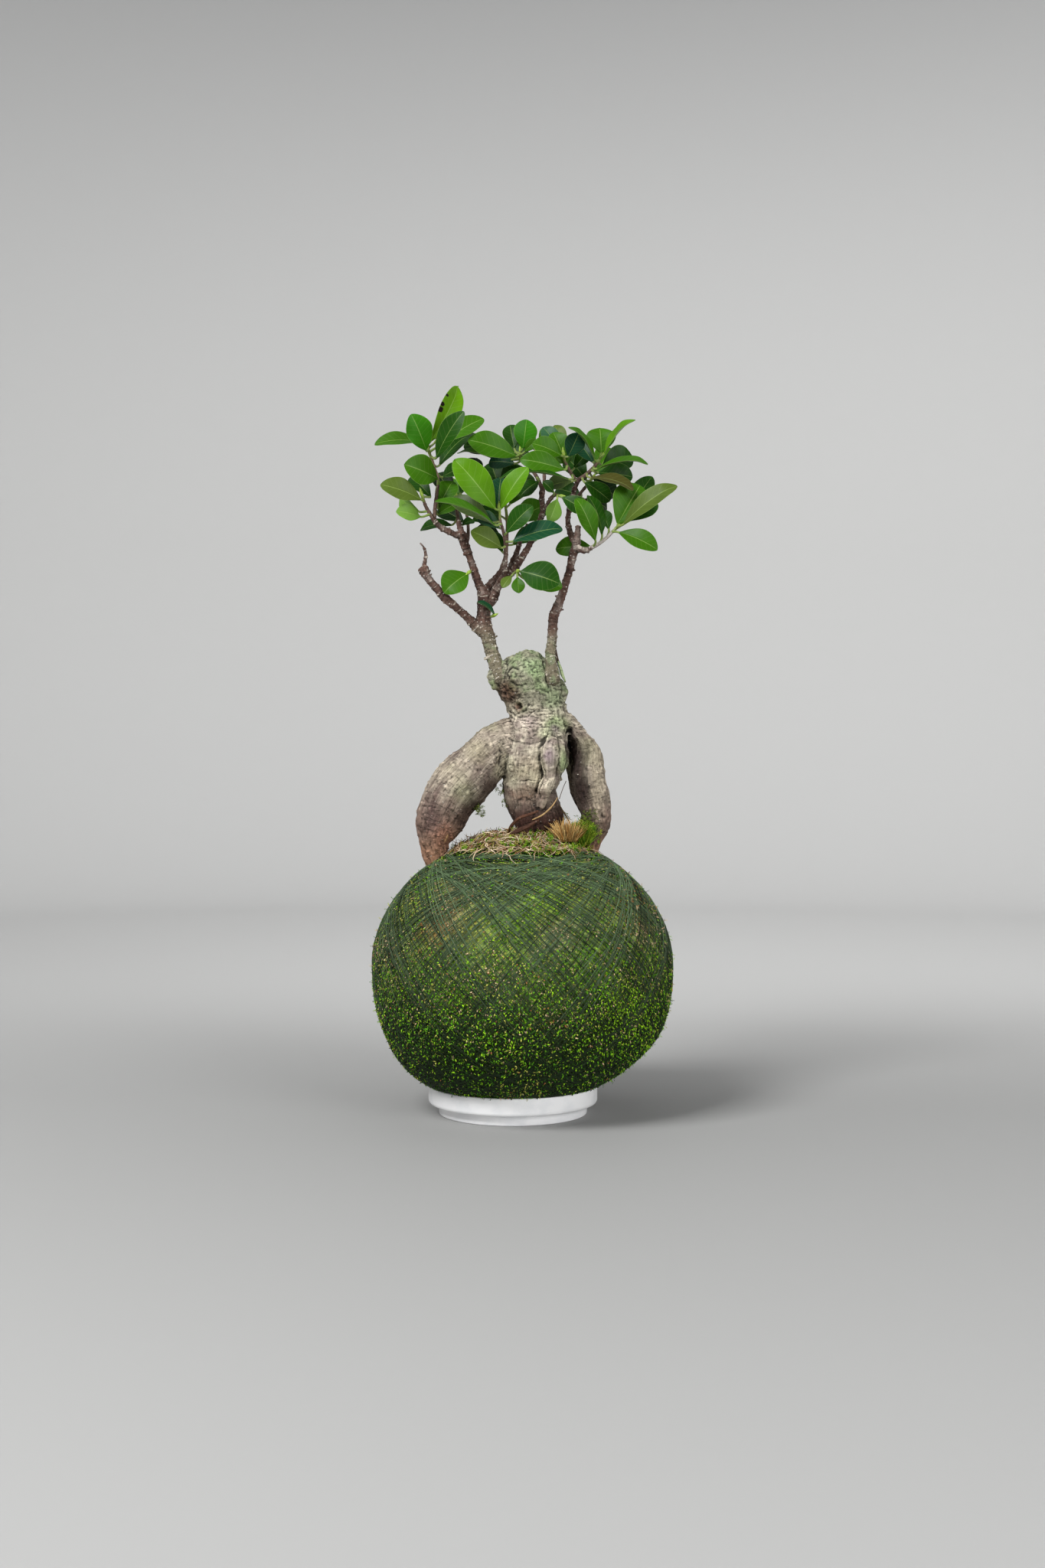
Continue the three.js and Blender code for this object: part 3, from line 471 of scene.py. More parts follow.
def averaged(points: Array, quads: Array) -> Array:
    """For each point of a closed surface of quads, the mean of its neighbours."""
    start, end = quads.ravel(), np.roll(quads, -1, axis=1).ravel()
    count = np.bincount(start, minlength=len(points))[:, None]
    sums = [np.bincount(start, points[end, k], len(points)) for k in range(3)]
    return np.stack(sums, axis=1) / count


def relaxed(points: Array, quads: Array, rounds: int) -> Array:
    """Points smoothed without shrinking.

    Each round moves every point 0.5 of the way to the mean of its neighbours, and then
    0.52 of the way back out.

    Args:
        points: Rows of x, y, z.
        quads: Faces of a closed surface.
        rounds: How often it is done.

    Returns:
        The smoothed points.
    """
    for share in (0.5, -0.52) * rounds:
        points = points + share * (averaged(points, quads) - points)
    return points


def fused(shape: Shape, voxel: float) -> tuple[Array, Array]:
    """One even skin round closed bodies that overlap.

    Args:
        shape: The bodies.
        voxel: The skin's quads are about this long, in millimetres.

    Returns:
        The skin's points, in millimetres, and its quads.
    """
    rough = bpy.data.objects.new("rough", shape.mesh("rough"))
    bpy.context.scene.collection.objects.link(rough)
    wrap = rough.modifiers.new("wrap", "REMESH")
    wrap.mode, wrap.voxel_size, wrap.adaptivity = "VOXEL", voxel * MM, 0
    made = rough.evaluated_get(bpy.context.evaluated_depsgraph_get()).to_mesh()
    points = np.empty(len(made.vertices) * 3, np.float32)
    made.vertices.foreach_get("co", points)
    quads = np.empty(len(made.loops), np.int32)
    made.loops.foreach_get("vertex_index", quads)
    bpy.data.objects.remove(rough)
    return points.reshape(-1, 3).astype(float) / MM, quads.reshape(-1, 4)


def add_piece(name: str, shape: Shape, material: Material, node: str) -> None:
    """Adds a piece that rides on the body and stands for a solid of the frame.

    Args:
        name: The piece's name.
        shape: Its closed bodies.
        material: Its finish.
        node: The solid that it stands for.
    """
    piece = bpy.data.objects.new(name, shape.mesh(name))
    bpy.context.scene.collection.objects.link(piece)
    piece.data.materials.append(material)
    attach(piece, BODY)
    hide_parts(node)
    triangles = sum(len(f) * (f.shape[1] - 2) for f in shape.faces)
    LOG.info("%s: %d triangles for %s", name, triangles, node)


# ------------------------------------------------------------------ finishes


class Pen:
    """Draws the nodes of one material round a Principled shader.

    Attributes:
        material: The material.
        shader: Its Principled node.
        here: Object coordinates, in metres.
    """

    def __init__(self, name: str, **constants: float) -> None:
        """Starts a material.

        Args:
            name: The material's name.
            **constants: Values for the shader's own sockets, with _ for a space.
        """
        self.material = bpy.data.materials.new(name)
        self.material.use_nodes = True
        self.material.node_tree.nodes.clear()
        feeds = {key.replace("_", " "): value for key, value in constants.items()}
        self.shader = self.add("ShaderNodeBsdfPrincipled", feeds)
        self.add("ShaderNodeOutputMaterial", {"Surface": self.shader.outputs["BSDF"]})
        self.here = self.add("ShaderNodeTexCoord").outputs["Object"]

    def add(
        self, kind: str, feeds: dict[str | int, object] | None = None, **settings: object
    ) -> bpy.types.Node:
        """A new node with its settings and with what its sockets are fed."""
        node = self.material.node_tree.nodes.new(kind)
        for key, value in settings.items():
            setattr(node, key, value)
        for key, value in (feeds or {}).items():
            self.feed(node.inputs[key], value)
        return node

    def feed(self, socket: Socket, value: object) -> None:
        """Links a socket to another one, or sets it to a number, vector or display colour."""
        if isinstance(value, Socket):
            self.material.node_tree.links.new(value, socket)
        else:
            socket.default_value = (*colour(value), 1.0) if isinstance(value, str) else value

    def attribute(self, name: str) -> Socket:
        """The colour that each point of the piece carries under a name."""
        return self.add("ShaderNodeAttribute", attribute_name=name).outputs["Color"]

    def flow(self, *scale: float) -> Socket:
        """Coordinates along, across and through a limb, each multiplied by its number."""
        place = self.add("ShaderNodeAttribute", attribute_name="flow").outputs["Vector"]
        node = self.add("ShaderNodeMapping", {"Vector": place, "Scale": scale})
        return node.outputs["Vector"]

    def pattern(
        self, kind: str, size: float, where: Socket | None, **feeds: float
    ) -> bpy.types.Node:
        """A texture of a size in millimetres, at coordinates in millimetres or the object's."""
        scale = 1 / size if where else 1 / (size * MM)
        return self.add(kind, {"Vector": where or self.here, "Scale": scale, **feeds})

    def noise(self, size: float, detail: float = 3, where: Socket | None = None) -> Socket:
        """Noise from 0 to 1.

        Args:
            size: Millimetres from lump to lump.
            detail: How many finer layers it has.
            where: Coordinates in millimetres, in place of the object's own.

        Returns:
            The noise's value.
        """
        return self.pattern("ShaderNodeTexNoise", size, where, Detail=detail).outputs["Fac"]

    def dots(self, spacing: float, radius: float, where: Socket | None = None) -> Socket:
        """Soft round dots: 1 at the middle of each, 0 from `radius` outwards.

        Args:
            spacing: Millimetres between dots, about.
            radius: Their radius in millimetres.
            where: Coordinates in millimetres, in place of the object's own.

        Returns:
            The dots' value.
        """
        away = self.pattern("ShaderNodeTexVoronoi", spacing, where).outputs["Distance"]
        return self.spread(away, radius / spacing, 0.3 * radius / spacing)

    def spread(self, value: Socket, low: float, high: float) -> Socket:
        """A value stretched so that `low` becomes 0 and `high` becomes 1, and clipped."""
        feeds = {"Value": value, "From Min": low, "From Max": high}
        return self.add("ShaderNodeMapRange", feeds, interpolation_type="SMOOTHSTEP").outputs[0]

    def reckon(self, kind: str, *values: object) -> Socket:
        """The result of one arithmetic step, such as ADD or MULTIPLY, on its values."""
        return self.add("ShaderNodeMath", dict(enumerate(values)), operation=kind).outputs[0]

    def scaled(self, value: object, factor: float, plus: object = 0.0) -> Socket:
        """A value times a factor, plus another value."""
        return self.reckon("MULTIPLY_ADD", value, factor, plus)

    def vector(self, kind: str, *values: object, output: str = "Vector") -> Socket:
        """The result of one step of vector arithmetic, such as MULTIPLY or DISTANCE."""
        node = self.add("ShaderNodeVectorMath", dict(enumerate(values)), operation=kind)
        return node.outputs[output]

    def mix(self, first: object, second: object, share: object) -> Socket:
        """One colour carried towards another by a share."""
        feeds = {0: share, 6: first, 7: second}
        return self.add("ShaderNodeMix", feeds, data_type="RGBA").outputs[2]

    def shaded(self, tint: object, value: Socket, depth: float) -> object:
        """A colour made up to `depth` darker or lighter as a value goes from 0.2 to 0.8."""
        feeds = {"Value": value, "From Min": 0.2, "From Max": 0.8}
        feeds |= {"To Min": 1 - depth, "To Max": 1 + depth}
        bright = self.add("ShaderNodeMapRange", feeds, clamp=False).outputs[0]
        return self.add("ShaderNodeHueSaturation", {"Color": tint, "Value": bright}).outputs[0]

    def relief(self, height: Socket, depth: float, strength: float = 1.0) -> None:
        """Dents the surface by a height from 0 to 1.

        Args:
            height: The height's value.
            depth: Millimetres from 0 to 1.
            strength: How much of the dent shows.
        """
        feeds = {"Strength": strength, "Distance": depth * MM, "Height": height}
        bump = self.add("ShaderNodeBump", feeds)
        self.feed(self.shader.inputs["Normal"], bump.outputs["Normal"])

    def done(self, tint: object, roughness: object) -> Material:
        """Gives the shader its colour and roughness, and returns the material."""
        self.feed(self.shader.inputs["Base Color"], tint)
        self.feed(self.shader.inputs["Roughness"], roughness)
        return self.material


@dataclass(frozen=True)
class Glaze:
    """Satin white glaze: a little cloudy, with faint waves and a few pinholes."""

    white: str = "FAFAFB"
    cloud: str = "F0F1F3"
    pinhole: str = "B9B6B0"

    def material(self) -> Material:
        """The glaze as a material."""
        pen = Pen("saucer_glaze", Coat_Weight=0.25, Coat_Roughness=0.12)
        cloud = pen.spread(pen.noise(14, 4), 0.42, 0.66)
        pinholes = pen.scaled(pen.dots(9, 0.35), 0.4)
        tint = pen.mix(self.white, self.cloud, cloud)
        tint = pen.mix(tint, self.pinhole, pinholes)
        pen.relief(pen.reckon("SUBTRACT", pen.noise(9, 1), pinholes), 0.12, 0.2)
        return pen.done(tint, pen.scaled(pen.noise(7, 3), 0.16, 0.26))


@dataclass(frozen=True)
class Crumbs:
    """Damp crumbly soil with pale grit."""

    dark: str = "241A12"
    light: str = "4A3626"
    grit: str = "8C7B66"

    def material(self) -> Material:
        """The soil as a material."""
        pen = Pen("damp_soil", Specular_IOR_Level=0.25)
        grain = pen.noise(2.2, 5)
        tint = pen.mix(self.dark, self.light, pen.spread(grain, 0.35, 0.7))
        tint = pen.mix(tint, self.grit, pen.dots(7, 0.6))
        pen.relief(grain, 1.2)
        return pen.done(tint, 0.95)


@dataclass(frozen=True)
class Painted:
    """A plant surface that takes its colour from its points and its texture from noise.

    Attributes:
        name: The finish's name.
        grain: Millimetres from speck to speck.
        contrast: How much darker or lighter the specks are.
        relief: Depth of the specks in millimetres.
        roughness: Of the surface, give or take 0.12.
        gloss: How strongly it reflects.
    """

    name: str
    grain: float
    contrast: float
    relief: float
    roughness: float
    gloss: float = 0.15

    def material(self) -> Material:
        """The finish as a material."""
        pen = Pen(self.name, Specular_IOR_Level=self.gloss)
        speck = pen.noise(self.grain, 4)
        tint = pen.shaded(pen.attribute("tint"), speck, self.contrast)
        pen.relief(speck, self.relief)
        return pen.done(tint, pen.scaled(speck, 0.24, self.roughness - 0.12))


@dataclass(frozen=True)
class Bark:
    """Thin bark: fibres along the limb, mottling, pale corky dots and darker pores.

    Attributes:
        name: The finish's name.
        mottle: Millimetres from patch to patch.
        corks: Millimetres between the pale dots.
        cork: The colour of the dots.
        size: Radius of the dots.
        fibre: How much darker or lighter the fibres are.
        cracks: How dark the fine cracks are.
        dark: The colour of cracks and pores.
    """

    name: str
    mottle: float
    corks: float
    cork: str
    size: float
    fibre: float
    cracks: float
    dark: str = "30261D"

    def material(self) -> Material:
        """The bark as a material."""
        pen = Pen(self.name, Specular_IOR_Level=0.2)
        patch = pen.noise(self.mottle, 5)
        fibres = pen.noise(1.1, 5, pen.flow(0.22, 1, 1))
        crack = pen.spread(pen.noise(1.5, 6, pen.flow(1, 0.35, 0.35)), 0.47, 0.33)
        crack = pen.scaled(crack, self.cracks)
        rows = pen.spread(pen.noise(2.6, 1, pen.flow(1, 0.1, 0.1)), 0.4, 0.62)
        cork = pen.dots(self.corks, self.size, pen.flow(1, 0.7, 0.7))
        cork = pen.reckon("MULTIPLY", cork, pen.scaled(rows, 0.7, 0.3))
        pore = pen.scaled(pen.dots(self.corks * 0.6, 0.34), 0.55)
        tint = pen.shaded(pen.attribute("tint"), patch, 0.26)
        tint = pen.shaded(tint, fibres, self.fibre)
        tint = pen.mix(tint, self.cork, pen.scaled(cork, 0.85))
        tint = pen.mix(tint, self.dark, pen.reckon("MAXIMUM", pore, crack))
        height = pen.scaled(cork, 0.5, fibres)
        pen.relief(pen.reckon("SUBTRACT", height, crack), 1.2)
        return pen.done(tint, pen.scaled(patch, 0.2, 0.62))


@dataclass(frozen=True)
class LeafSkin:
    """A satin leaf: pale rib, margin and side veins over the green of its points.

    The piece's surface places give it the pattern: U runs from the stalk's foot to the
    leaf's tip, and V across it from edge to edge.

    Attributes:
        veins: Pairs of side veins.
        rib: Half the rib's breadth as a share of the leaf's.
        pale: The colour that rib, margin and veins lean to.
        dead: The colour of the dead spots.
        spots: Dead spots at one leaf's edge: x, z and radius in millimetres.
    """

    veins: float = 11
    rib: float = 0.016
    pale: str = "B2CA72"
    dead: str = "1C140A"
    spots: Rows = ((-48.2, 467, 2.0), (-46.6, 470.5, 1.5), (-43.6, 477, 1.0))

    def material(self) -> Material:
        """The leaf as a material."""
        pen = Pen("leaf_skin", Specular_IOR_Level=0.12)
        place = pen.add("ShaderNodeUVMap", uv_map="place").outputs["UV"]
        along, across, _ = pen.add("ShaderNodeSeparateXYZ", {"Vector": place}).outputs
        off = pen.scaled(pen.reckon("ABSOLUTE", pen.reckon("SUBTRACT", across, 0.5)), 2)
        slant = pen.scaled(pen.scaled(off, -0.13, along), self.veins * np.pi)
        vein = pen.spread(pen.reckon("ABSOLUTE", pen.reckon("SINE", slant)), 0.22, 0.03)
        tint = pen.shaded(pen.attribute("tint"), pen.noise(9, 3), 0.14)
        pale = pen.mix(tint, self.pale, 0.5)
        rib = pen.spread(off, self.rib * 2.4, self.rib)
        for line, share in ((vein, 0.12), (pen.spread(off, 0.955, 0.99), 0.4), (rib, 0.55)):
            tint = pen.mix(tint, pale, pen.scaled(line, share))
        flat = pen.vector("MULTIPLY", pen.here, (1, 0, 1))
        for x, z, radius in self.spots:
            away = pen.vector("DISTANCE", flat, (x * MM, 0, z * MM), output="Value")
            ragged = pen.scaled(pen.noise(2.5, 3), 1.6 * MM, away)
            spot = pen.spread(ragged, (radius + 1.0) * MM, (radius + 0.6) * MM)
            tint = pen.mix(tint, self.dead, spot)
        pen.relief(pen.scaled(vein, -0.5, pen.noise(1.4, 2)), 0.1, 0.5)
        return pen.done(tint, pen.scaled(pen.noise(5, 2), 0.16, 0.32))


# ------------------------------------------------------------------ saucer and ball


@dataclass
class Saucer:
    """A round saucer: a flat foot, a stepped-out wall with soft edges and a hollow floor.

    Attributes:
        foot_radius: Of the foot that it stands on.
        foot_height: Up to the step.
        wall: Thickness of the rim.
        floor: Height of the hollow's floor.
        floor_radius: Of the flat part of the floor.
        sides: Points round each level.
    """

    foot_radius: float = 49.4
    foot_height: float = 7.2
    wall: float = 1.6
    floor: float = 4
    floor_radius: float = 44.5
    sides: int = 128

    def build(self) -> None:
        """Turns the saucer's outline, softened at every corner, and adds it."""
        rim, _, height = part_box("saucer")[1] / MM
        inside = rim - self.wall
        outline = (
            (0, 0), (self.foot_radius, 0), (self.foot_radius, self.foot_height),
            (rim - 0.9, self.foot_height), (rim, self.foot_height + 1.6), (rim, height),
            (inside, height), (inside - 4, height / 2 + 1), (self.floor_radius, self.floor),
            (0, self.floor),
        )
        shape = turned(resampled(outline, 0.45, 4), self.sides)
        add_piece("saucer_glazed", shape, Glaze().material(), "saucer")


@dataclass(frozen=True)
class BallForm:
    """The ball is round at every level: two flattened domes that meet at its widest level.

    Attributes:
        shift: How far it leans to the right above its foot.
        lean_foot: Height where it starts to lean.
        lean_top: Height above which it leans in full.
        middle: Height of its widest level.
        radius: Of that level.
        rise: Height of the upper dome.
        drop: Height of the lower dome.
        rise_power: How square the upper dome is.
        drop_power: How square the lower dome is.
        mouth: Height where it opens.
    """

    shift: float = 6.4
    lean_foot: float = 14
    lean_top: float = 60
    middle: float = 102
    radius: float = 99
    rise: float = 83
    drop: float = 94.6
    rise_power: float = 1.8
    drop_power: float = 2.65
    mouth: float = 169

    def radius_at(self, z: Array, grow: float | Array = 0) -> Array:
        """The radius at a height: (R + g) * sqrt(1 - (|z - middle| / (reach + g)) ^ power).

        Args:
            z: Heights.
            grow: How far outside the ball, g.

        Returns:
            A radius for each height.
        """
        z = np.asarray(z, float)
        above = z > self.middle
        reach = np.where(above, self.rise, self.drop) + grow
        power = np.where(above, self.rise_power, self.drop_power)
        part = np.minimum(np.abs(z - self.middle) / reach, 1)
        return (self.radius + grow) * np.sqrt(1 - part**power)

    def middle_at(self, z: Array) -> Array:
        """How far along X the ball's middle lies at a height."""
        return self.shift * ease(self.lean_foot, self.lean_top, np.asarray(z, float))

    def around(self, angle: Array, z: Array, grow: float | Array = 0) -> Array:
        """Points on the ball at an angle round it and a height."""
        r = self.radius_at(z, grow)
        return np.stack([self.middle_at(z) + r * np.cos(angle), r * np.sin(angle), z], axis=-1)

    def toward(self, ways: Array, grow: float | Array = 0) -> Array:
        """Points on the ball for directions on a sphere.

        A direction's height chooses the level, as a share of the dome's rise or drop.

        Args:
            ways: Unit directions along the last axis.
            grow: How far outside the ball.

        Returns:
            A point for each direction.
        """
        reach = np.where(ways[..., 2] > 0, self.rise, self.drop) + grow
        level = self.middle + ways[..., 2] * reach
        return self.around(np.arctan2(ways[..., 1], ways[..., 0]), level, grow)

    def outward(self, angle: Array, z: Array) -> Array:
        """Normals at an angle and a height, from the slope of the radius over 0.2 mm."""
        slope = (self.radius_at(z + 0.1) - self.radius_at(z - 0.1)) / 0.2
        return unit(np.stack([np.cos(angle), np.sin(angle), -slope], axis=-1))

    def scattered(
        self, count: int, low: float, high: float, rng: Generator
    ) -> tuple[Array, Array]:
        """Random angles and heights, even over the ball's skin.

        Args:
            count: How many.
            low: Lowest height.
            high: Greatest height.
            rng: Where the draw comes from.

        Returns:
            The angles and the heights.
        """
        levels = np.linspace(low, high, 400)
        slope = np.gradient(self.radius_at(levels), levels)
        area = np.cumsum(self.radius_at(levels) * np.sqrt(1 + slope**2))
        z = np.interp(rng.uniform(area[0], area[-1], count), area, levels)
        return rng.uniform(0, 2 * np.pi, count), z


class Moss(Enum):
    """The greens and browns that moss is mixed from, as display colours; SHADE is painted shade.
    """

    BRIGHT = "9AD022"
    LEAFY = "63A41E"
    DEEP = "3A6A18"
    # Painted shade: a near-black given to more leaflets low on the ball.
    SHADE = "1A2C0A"
    YELLOW = "C2C25A"
    TAN = "CFB48C"
    RUST = "B87C4A"


@dataclass(frozen=True)
class Patch:
    """A part of the ball's front whose moss leans to one colour.

    Attributes:
        x: Across, as seen from the front.
        z: Up, as seen from the front.
        reach: Its radius.
        moss: What it leans to.
        share: How much of its moss does.
    """

    x: float
    z: float
    reach: float
    moss: Moss
    share: float


PATCHES = (
    Patch(-43, 132, 15, Moss.TAN, 0.75), Patch(-38, 150, 9, Moss.TAN, 0.6),
    Patch(-27, 122, 12, Moss.YELLOW, 0.5), Patch(-52, 122, 12, Moss.RUST, 0.6),
    Patch(30, 120, 14, Moss.TAN, 0.55), Patch(80, 143, 14, Moss.RUST, 0.65),
    Patch(90, 124, 12, Moss.TAN, 0.6), Patch(-82, 112, 13, Moss.TAN, 0.5),
    Patch(22, 143, 12, Moss.BRIGHT, 0.7), Patch(6, 125, 10, Moss.BRIGHT, 0.6),
    Patch(50, 150, 14, Moss.YELLOW, 0.4), Patch(-70, 140, 12, Moss.YELLOW, 0.4),
    Patch(74, 68, 22, Moss.BRIGHT, 0.5), Patch(8, 16, 16, Moss.YELLOW, 0.3),
    Patch(-12, 90, 12, Moss.TAN, 0.25), Patch(50, 95, 16, Moss.LEAFY, 0.4),
)


@dataclass
class MossBall:
    """The moss jacket with the thread that binds it, and the soil inside.

    Attributes:
        form: The ball's shape.
        leaflets: Leaflets in each band.
        bands: Heights between which each band of leaflets lies.
        turns: Turns of thread in each lay.
        bundles: Bundles that the turns of each lay gather in.
        tilts: How steeply each lay climbs, in degrees.
        lifts: How far each lay lies outside the ball.
        thread: The thread's radius.
        rng: Where every draw comes from.
        noise: Unevenness of the moss.
    """

    form: BallForm = field(default_factory=BallForm)
    leaflets: int = 23500
    bands: tuple[float, ...] = (9, 48, 82, 118, 178)
    turns: tuple[int, ...] = (167, 199)
    bundles: tuple[int, ...] = (59, 73)
    tilts: tuple[float, ...] = (55.5, 48.0)
    lifts: tuple[float, ...] = (0.65, 0.4)
    thread: float = 0.26
    rng: Generator = field(default_factory=lambda: np.random.default_rng(71))
    noise: Noise = field(default_factory=lambda: Noise(5))

    @staticmethod
    def leanings(points: Array) -> Iterator[tuple[Moss, Array]]:
        """Each patch's moss, with how far the points lean to it: share * exp(-distance^2)."""
        flat = fronted(points)
        for patch in PATCHES:
            away = np.linalg.norm(flat - (patch.x, patch.z), axis=1) / patch.reach
            yield patch.moss, patch.share * np.exp(-(away**2)) * (points[:, 1] < 0)

    def mixed(self, points: Array) -> Array:
        """A moss colour for each leaflet, drawn by how light the place is and its patch.

        The ball is greyer and lighter above its middle and deeper green below it, where more
        leaflets take the near-black SHADE, painted shade. Away from the front, noise makes
        the patches.

        Args:
            points: The leaflets' roots.

        Returns:
            Linear colours, one a row.
        """
        high = ease(35, 125, points[:, 2])
        # SHADE, the near-black painted shade, weighs most low on the ball.
        weights = {
            Moss.BRIGHT: 0.17 + 0.1 * high, Moss.LEAFY: 0.2 + 0.14 * high,
            Moss.DEEP: 0.22 - 0.04 * high, Moss.SHADE: 0.37 - 0.35 * high,
            Moss.YELLOW: 0.04 + 0.18 * high, Moss.TAN: 0.01 + 0.12 * high,
            Moss.RUST: 0.005 + 0.03 * high,
        }
        table = np.stack([weights[moss] for moss in Moss], axis=1)
        table /= table.sum(1, keepdims=True)
        leanings = [*self.leanings(points)]
        for k, moss in enumerate((Moss.TAN, Moss.BRIGHT, Moss.RUST)):
            patchy = ease(0.25, 0.6, self.noise.layered(points + 90 * k, 30))
            leanings.append((moss, np.where(points[:, 1] < 0, 0.15, 0.45) * patchy))
        for moss, share in leanings:
            table = blend(table, np.array([each is moss for each in Moss], float), share)
        pick = (self.rng.random((len(points), 1)) > np.cumsum(table, axis=1)).sum(1)
        tones = palette(*(moss.value for moss in Moss))[np.minimum(pick, len(Moss) - 1)]
        return tones * self.rng.uniform(0.55, 1.5, (len(points), 1))

    def bed(self) -> Shape:
        """The jacket's body, uneven by two sizes of noise outside, plain inside, and patchy, with
        painted shade in its hollows and towards its bottom.
        """
        form = self.form
        seat = [(0, 4.35), (30, 4.35), (38, 6.8), (43, 10.2), (47, 14.8), (53.4, 19.4)]
        levels = np.linspace(22.5, form.mouth, 150)
        skin = np.stack([form.radius_at(levels, -0.4), levels], axis=1)
        inner = np.linspace(form.mouth - 2, 17, 30)
        lining = np.stack([form.radius_at(inner, -8.5), inner], axis=1)
        profile = np.vstack([resampled(seat, 2), skin, lining, [[0, 15.9]]])
        shape = turned(profile, 280)
        lumps = self.noise.layered(shape.points, 7, 2) * 0.9 + self.noise.at(shape.points / 1.9)
        out = unit(shape.points * (1, 1, 0))
        outside = (np.hypot(*shape.points[:, :2].T) > form.radius_at(shape.points[:, 2], -3))
        shape.points += out * (0.55 * lumps * outside)[:, None]
        shape.points[:, 0] += form.middle_at(shape.points[:, 2])
        # Painted shade: lighter on the lumps and darker between them, the patch colours too.
        depth = ease(-0.7, 0.9, lumps)
        tint = blend("4C6626", "9CB65E", depth)
        for moss, share in self.leanings(shape.points):
            tint = blend(tint, colour(moss.value) * (0.45 + 0.35 * depth)[:, None], 0.9 * share)
        tint = blend(tint, "8E8A58", 0.45 * ease(135, 165, shape.points[:, 2]))
        # Painted shade: darkened to 0.16 of its colour towards the bottom.
        low = 1 - ease(50, 125, shape.points[:, 2])
        return shape.tinted(blend(tint, tint * 0.16, low))

    def leafy(self, low: float, high: float, count: int) -> Shape:
        """Leaflets of a band: flat to the ball, pointing mostly down and a little out.

        Args:
            low: Lowest height of the band.
            high: Greatest height.
            count: How many leaflets.

        Returns:
            The leaflets.
        """
        form, rng = self.form, self.rng
        angle, z = form.scattered(count, low, high, rng)
        normal = form.outward(angle, z)
        skin = form.around(angle, z)
        sunk = ease(0.05, 0.4, self.noise.layered(skin + 130, 13, 3)) * ease(60, 120, z)
        high = ease(70, 120, z)
        root = form.around(angle, z, rng.uniform(-0.4, 1.0, count) - 0.5 * sunk - 0.1 * high)
        side = unit(np.cross(UP, normal))
        down = np.cross(side, normal)
        spin = rng.normal(0, 1.0, count)[:, None]
        rise = (rng.uniform(0.05, 0.8, count) ** 1.5 * (1 - 0.4 * high))[:, None]
        along = down * np.cos(spin) + side * np.sin(spin) + normal * rise
        face = normal + 0.5 * rng.normal(size=(count, 3))
        large = 1 - 0.28 * ease(50, 130, z)
        length = rng.uniform(1.2, 2.8, count) * large
        sizes = np.stack([length, length * rng.uniform(0.32, 0.5, count), length * 0.13], axis=1)
        shape = slivers(root, along, face, sizes)
        tint = np.repeat(self.mixed(root), SLIVER, axis=0).reshape(-1, SLIVER, 3)
        # Painted shade: each leaflet is darker at its root, where it sits in the bed.
        tint[:, 0] *= 0.55
        return shape.tinted(tint.reshape(-1, 3))

    def fringe(self, count: int = 1100) -> Shape:
        """Stray sprigs that stand clear of the ball and roughen its outline."""
        form, rng = self.form, self.rng
        angle, z = form.scattered(count, 14, 170, rng)
        normal = form.outward(angle, z)
        root = form.around(angle, z)
        way = normal + 0.7 * rng.normal(size=(count, 3)) - 0.3 * UP
        return sprigs(root, way, rng.uniform(1.6, 3.6, count), 7, self.mixed(root), rng, 1.3)

    def winding(
        self, turns: int, bundles: int, tilt: float, lift: float, steps: int = 92
    ) -> Shape:
        """One lay of thread: a single endless thread wound round the ball.

        Each turn is a great circle at a tilt, laid on the ball. Its heading t goes once
        round in all the turns, less 0.9 sin(bundles t) / bundles, which gathers them.
        The turns of a bundle are alike in tone, so that the bundles show from afar.
        Towards the top the thread is lighter, as painted light, and towards the bottom
        darker, as painted shade.

        Args:
            turns: Turns in the lay.
            bundles: How many bundles they gather in.
            tilt: How steeply they climb, in degrees.
            lift: How far they lie outside the ball.
            steps: Points to a turn.

        Returns:
            The thread as one closed tube.
        """
        rng, sides = self.rng, 3
        share = np.arange(turns * steps) / (turns * steps)
        turn = 2 * np.pi * share
        knots = np.arange(turns + 1)
        stray = [np.interp(share * turns, knots, np.append(s, s[0]))
                 for s in rng.normal(0, 1, (2, turns))]
        heading = turn - 0.9 * np.sin(bundles * turn) / bundles + 0.05 * np.sin(11 * turn + 2)
        heading = heading + 0.008 * stray[0]
        lean = tilt + 3.2 * np.sin(5 * turn) + 1.6 * np.sin(17 * turn) + 0.5 * stray[1]
        lean = np.radians(lean)[:, None]
        spin = 2 * np.pi * turns * share
        across = np.stack([np.cos(heading), np.sin(heading), 0 * heading], axis=1)
        rising = np.stack([-np.sin(heading), np.cos(heading), 0 * heading], axis=1)
        rising = rising * np.cos(lean) + UP * np.sin(lean)
        ways = across * np.cos(spin)[:, None] + rising * np.sin(spin)[:, None]
        bundle = (share * bundles).astype(int)
        stand = lift + 0.3 * self.noise.at(self.form.toward(ways) / 6)
        path = self.form.toward(ways, stand + 0.5 * rng.random(bundles)[bundle])
        out = unit(self.form.toward(ways, lift + 1) - self.form.toward(ways, lift))
        radii = np.full((1, len(path)), self.thread)
        shape = tubes(path[None], radii, sides, out[None], closed=True)
        tone = rng.uniform(0, 1, bundles)[bundle] + np.repeat(rng.normal(0, 0.2, turns), steps)
        # Painted light: the thread is lighter towards the top.
        high = ease(100, 175, path[:, 2])[:, None]
        tint = blend("10190F", "55684A", np.clip(tone, 0, 1)) * (1 + 0.7 * high)
        # Painted shade: the thread is darker towards the bottom.
        low = 1 - ease(45, 120, path[:, 2])
        tint = blend(tint, "1B2A12", 0.85 * low)
        return shape.tinted(np.repeat(tint, sides, axis=0))

